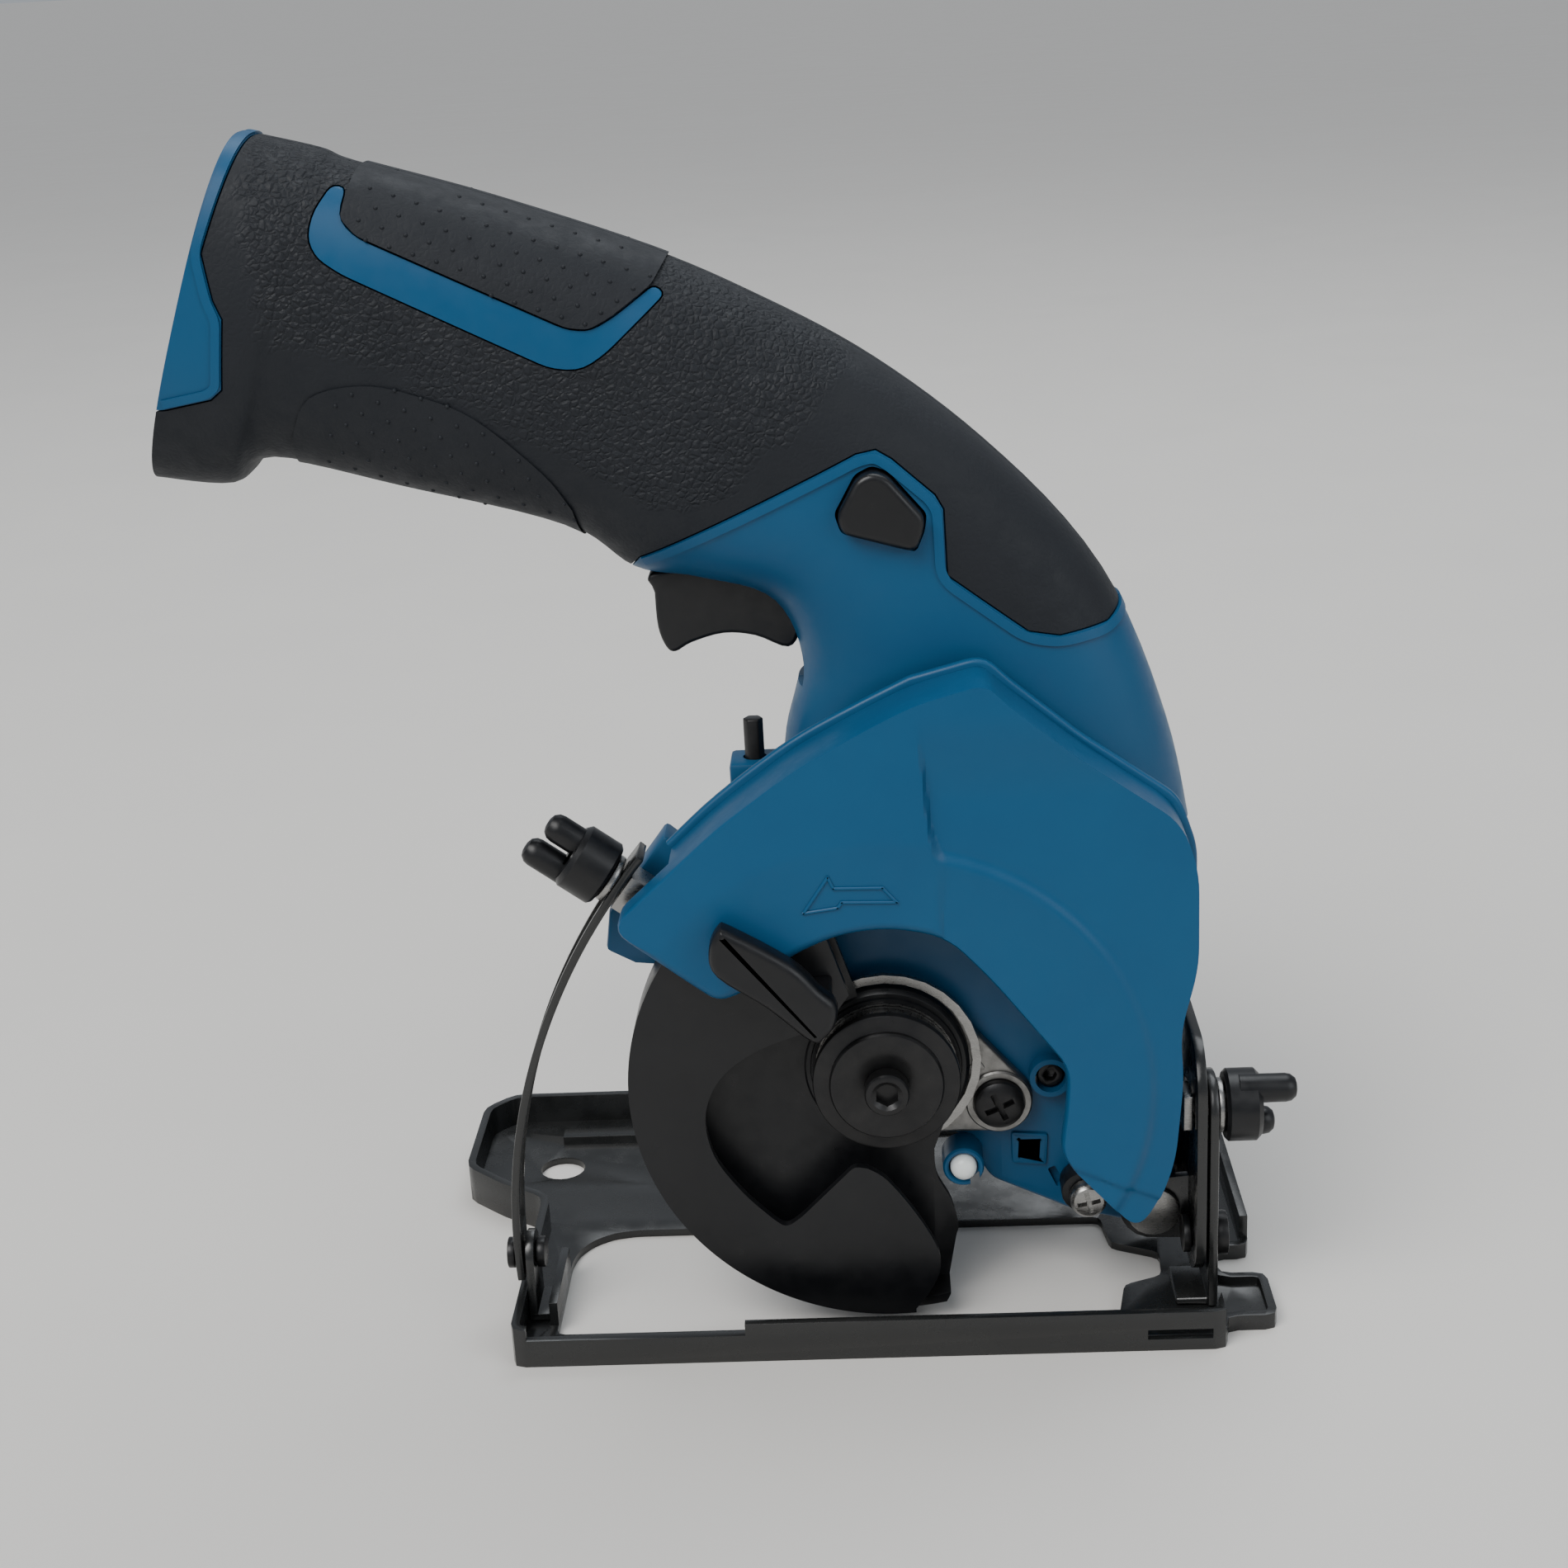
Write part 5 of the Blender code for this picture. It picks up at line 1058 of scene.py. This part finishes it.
def make_retainer():
    place = RETAINER_SCREW
    gap = Vector(place) - Vector(ARBOR)
    heading = math.degrees(math.atan2(gap.y, gap.x))
    lean = math.degrees(math.acos((16.0 - 6.4) / gap.length))
    outline = arc(ARBOR, 16.0, heading + lean, heading - lean + 360, 90)
    outline += arc(place, 6.4, heading - lean, heading + lean, 36)
    plate = soften(prism("retainer_plate", outline, 12.4, 15.0), 0.6, 3, 40)
    boss = [(5.4, 7.9), (11.2, 7.9), (11.7, 8.4), (11.7, 13.4), (5.4, 13.4)]
    join(plate, turned("retainer_boss", boss, ARBOR, sides=96))
    rim = [(5.0, 11.7), (6.0, 11.7), (6.3, 12.0), (6.3, 12.8), (5.0, 12.8)]
    join(plate, turned("retainer_rim", rim, place, sides=72))
    cut(plate, bar("retainer_hole", 2.6, place, 5, 20, sides=32), bar("retainer_bore", 5.4, ARBOR, 5, 20))
    fit(plate, CAST, "saw_body", "cast_aluminium", "bearing_retainer")
    tag = rounded([(13.6, 47.2), (17.4, 49.8), (18.6, 48.0), (14.8, 45.4)], 0.4)
    label = soften(prism("retainer_tag", tag[::-1], 12.15, 12.8), 0.15, 2)
    fit(label, CAST, "saw_body", "cast_aluminium")
    screw_head("retainer_screw", place, (9.4, 12.1), 4.8, 2.9, 25)
    screw_head("lower_screw", LOWER_SCREW, (6.2, 9.3), 3.5, 2.2, 12)


def screw_head(node, place, ends, radius, cross, turn):
    """A domed head with a cross recess, and its shank."""
    front, back = ends
    dome = [(0, 0), (0.45, 0.08), (0.8, 0.35), (0.96, 0.9), (1.0, 1.4)]
    dome = [(radius * share, front + rise) for share, rise in dome]
    shank_r = radius * 0.45
    dome += [(radius, back), (shank_r, back), (shank_r, 22.5), (0, 22.5)]
    head = turned(node + "_head", dome, place, sides=72)
    cut(head, recess(node + "_cross", place, front, cross, 1.5, turn))
    slot = NODE_SLOTS[node]
    fit(head, SLOT_LOOKS[slot], "saw_body", slot, node)


def make_lamp():
    lens = [(0, 6.8), (1.0, 6.86), (1.8, 7.2), (2.3, 7.8), (2.5, 8.6), (2.5, 13.2), (0, 13.2)]
    fit(turned("lamp_lens_dome", lens, LAMP, sides=48), LENS, "saw_body", "white_lens", "lamp_lens")
    ring = [(2.8, 8.7), (3.1, 8.3), (3.6, 8.3), (3.9, 8.7), (3.9, 15.0), (2.8, 15.0)]
    holder = turned("lamp_clip", ring, LAMP, sides=64)
    x, z = LAMP
    cut(holder, box("clip_gap", (x + 1.2, 7, z - 6), (x + 3.0, 11.5, z - 1)))
    fit(holder, TEAL, "saw_body", "teal_plastic", "lamp_holder")


# ---------------------------------------------------------------- knobs and small parts


def knob(name, place, towards, low, top, wings, node):
    """A clamp knob with two blunt wings, turned about its bolt."""
    side = Vector((0, 1, 0))
    across = towards.cross(side).normalized()

    def lathe(title, centre, profile, sides=48):
        shape = bmesh.new()
        rings = []
        for radius, w in profile:
            base = centre + towards * w * MM
            if radius <= 0:
                rings.append([shape.verts.new(base)])
                continue
            ring = []
            for i in range(sides):
                turn = 2 * math.pi * i / sides
                out = across * math.cos(turn) + side * math.sin(turn)
                ring.append(shape.verts.new(base + out * radius * MM))
            rings.append(ring)
        for first, second in zip(rings, rings[1:]):
            for i in range(sides):
                j = (i + 1) % sides
                if len(first) == 1:
                    shape.faces.new((first[0], second[j], second[i]))
                elif len(second) == 1:
                    shape.faces.new((first[i], first[j], second[0]))
                else:
                    shape.faces.new((first[i], first[j], second[j], second[i]))
        return solid(title, shape)

    radius, high = top
    drum = [(0, low), (radius - 0.6, low), (radius, low + 0.6)]
    drum += [(radius, high - 0.9), (radius - 0.9, high), (0, high)]
    made = lathe(name, place, drum, 64)
    for u, v, reach in wings:
        centre = place + (across * u + side * v) * MM
        wing = [(0, low + 2.5), (2.7, low + 2.5), (2.7, reach - 2.2), (2.5, reach - 1.2)]
        wing += [(1.8, reach - 0.35), (0.9, reach - 0.05), (0, reach)]
        join(made, lathe(name + "_wing", centre, wing, 40))
    bore = [(0, low - 3), (2.8, low - 3), (2.8, high + 0.4), (0, high + 0.4)]
    cut(made, lathe(name + "_bore", place, bore, 32))
    tidy(made, 0.4, 0.01)
    fit(made, BLACK, node, "black_plastic", node, angle=30)


def make_knobs():
    angle = math.radians(CLAMP_ANGLE)
    towards = Vector((math.cos(angle), 0, math.sin(angle)))
    outside = GUIDE_R + 0.75 + GAP + 1.2 + GAP
    knob(
        "depth_knob_grip",
        spot(PIVOT[0], 8.0, PIVOT[1]),
        towards,
        outside,
        (6.3, outside + 7.6),
        ((3.6, 0.0, outside + 15.2), (-2.6, 0.0, outside + 14.2)),
        "depth_knob",
    )
    low = 56.7 + 1.8 + 0.6 + 1.8 + 0.3 + 1.0 + 0.3
    knob(
        "bevel_knob_grip",
        spot(0, 8.0, 41.0),
        Vector((1, 0, 0)),
        low,
        (6.8, low + 6.6),
        ((-4.2, 1.5, low + 9.8), (4.2, -2.0, low + 13.2)),
        "bevel_knob",
    )


def make_trigger():
    pull = [(-38.9, 142.5), (-38.9, 138.7), (-38.7, 132.2), (-37.4, 128.3), (-35.7, 127.4), (-32.6, 129.0)]
    pull += [(-26.7, 130.5), (-20.9, 129.8), (-15.0, 127.4), (-12.6, 131.0), (-12.4, 138.0)]
    pull += [(-14.5, 141.0), (-22, 143.5)]
    finger = soften(prism("trigger_pull", flowing(pull, 4, closed=True), 26.5, 39.5), 1.6, 4, 40)
    fit(finger, BLACK, "trigger", "black_plastic", "trigger")
    outline = rounded(LOCK_OUTLINE, 2.4, 4)
    button = pillow("lock_off_button", outline, 11.5, 54.5, 1.1, 4)
    fit(button, BLACK, "lock_button", "black_plastic", "lock_button")


def make_motor_cap():
    low = BARREL_FAR_Y + GAP
    profile = [(0, 84.3), (17.2, 84.3), (17.2, low), (BARREL_R, low), (BARREL_R, 87.6), (20.2, 88.6)]
    profile += [(19.2, 89.3), (14.8, 89.3), (14.6, 89.0), (14.2, 88.9), (0, 88.9)]
    cap = turned("motor_end_cap", profile, MOTOR, sides=120)
    cuts = []
    for i in (-2, -1, 1, 2):
        dz = i * 5.2
        wide = math.sqrt(13.1**2 - dz**2)
        x, z = MOTOR[0], MOTOR[1] + dz
        corners = [(x - wide, z - 1.1), (x + wide, z - 1.1), (x + wide, z + 1.1), (x - wide, z + 1.1)]
        cuts.append(prism("vent", rounded(corners, 0.9), 80, 92))
    cut(cap, *cuts, bar("cap_bearing", 1.8, MOTOR, 80, 86.9, sides=24))
    fit(cap, BLACK, "saw_body", "black_plastic", "motor_cap")


def make_guide():
    low_angle = 180 + math.degrees(math.asin(7 / GUIDE_R))
    high_angle = CLAMP_ANGLE - 3.6
    strip = arc(PIVOT, GUIDE_R + 0.75, high_angle, low_angle, 90)
    strip += arc(PIVOT, GUIDE_R - 0.75, low_angle, high_angle, 90)
    guide = soften(prism("depth_strip", strip, 4.0, 12.0), 0.25, 2, 40)
    room = math.degrees(2.8 / GUIDE_R)
    top, bottom = CLAMP_ANGLE - room, CLAMP_ANGLE + 33.82 + room
    slot = arc(PIVOT, GUIDE_R + 3, top, bottom, 60) + arc(PIVOT, GUIDE_R - 3, bottom, top, 60)
    cut(guide, prism("guide_slot", slot, 5.3, 10.7), bar("guide_hole", 2.3, (8, 14), -75.5, -67.5, "x", 32))
    fit(guide, PAINT, "carriage", "black_paint", "depth_guide")


# ---------------------------------------------------------------- stage


def stage_and_light():
    shape = bmesh.new()
    bmesh.ops.create_grid(shape, x_segments=1, y_segments=1, size=80.0)
    mesh = bpy.data.meshes.new("floor")
    shape.to_mesh(mesh)
    shape.free()
    floor = bpy.data.objects.new("floor", mesh)
    mesh.materials.append(floor_paint())
    bpy.context.scene.collection.objects.link(floor)
    world = bpy.data.worlds.new("soft_room")
    world.use_nodes = True
    world.node_tree.nodes["Background"].inputs["Color"].default_value = (0.86, 0.92, 1.0, 1)
    world.node_tree.nodes["Background"].inputs["Strength"].default_value = 0.42
    bpy.context.scene.world = world
    middle = Vector((-0.02, -0.02, 0.10))
    for name, place, size, power, tint in (
        ("key_light", (-0.75, -0.75, 1.35), 0.9, 15, (1.0, 0.98, 0.95)),
        ("top_light", (0.25, 0.55, 1.5), 1.1, 12, (0.93, 0.97, 1.0)),
        ("fill_light", (1.1, -0.8, 0.7), 0.9, 6, (0.95, 0.98, 1.0)),
    ):
        light = bpy.data.lights.new(name, "AREA")
        light.shape = "SQUARE"
        light.size = size
        light.energy = power
        light.color = tint
        lamp = bpy.data.objects.new(name, light)
        lamp.location = place
        lamp.rotation_euler = (middle - Vector(place)).to_track_quat("-Z", "Y").to_euler()
        bpy.context.scene.collection.objects.link(lamp)


def add_sun():
    """A wide, soft sun that lights the floor evenly to the horizon."""
    light = bpy.data.lights.new("soft_sun", "SUN")
    light.energy = 1.35
    light.angle = math.radians(40)
    sun = bpy.data.objects.new("soft_sun", light)
    sun.rotation_euler = (math.radians(38), math.radians(-26), 0)
    bpy.context.scene.collection.objects.link(sun)


def aim_camera():
    pitch, yaw, roll = (math.radians(a) for a in (19.4, -2.6, -3.0))
    ahead = Vector((math.sin(yaw) * math.cos(pitch), math.cos(yaw) * math.cos(pitch), -math.sin(pitch)))
    right = Vector((math.cos(yaw), -math.sin(yaw), 0))
    up = right.cross(ahead)
    turned_right = right * math.cos(roll) + up * math.sin(roll)
    turned_up = up * math.cos(roll) - right * math.sin(roll)
    data = bpy.data.cameras.new("camera")
    data.lens = 54.0
    data.sensor_width = 36.0
    data.clip_start = 0.02
    camera = bpy.data.objects.new("camera", data)
    matrix = Matrix((turned_right, turned_up, -ahead)).transposed().to_4x4()
    matrix.translation = spot(1.7, -387.6, 247.0)
    camera.matrix_world = matrix
    bpy.context.scene.collection.objects.link(camera)
    bpy.context.scene.camera = camera


# ---------------------------------------------------------------- making


aim_camera()
stage_and_light()
add_sun()
finish_frame_pieces()
for wide, nodes in (
    (0.5, "sole_plate bevel_quadrant front_ear rear_ear"),
    (0.25, "bevel_bolt bevel_washer clamp_washer clamp_nut clamp_bolt front_rivet rear_rivet depth_pin"),
    (0.25, "depth_pin_clip lower_washer case_screw_1 case_screw_2 case_screw_3 boss_screw"),
    (0.25, "clamp_lug hex_key"),
    (0.3, "shaft_lock"),
):
    for node in nodes.split():
        refine(node, wide)
pads = []
for side in ("right", "left"):
    make_housing(side)
    make_grip(side)
    pads.append(raised_details(side))
tree, socket = dot_tree()
make_dots("top_pad_dots", [pair[0] for pair in pads], lattice((-92, 184), (-38, 232), 3.9), tree, socket)
make_dots("low_pad_dots", [pair[1] for pair in pads], lattice((-100, 150), (-50, 186), 4.4), tree, socket)
make_cover()
make_guard()
make_spindle_end()
make_retainer()
make_lamp()
make_knobs()
make_trigger()
make_motor_cap()
make_guide()
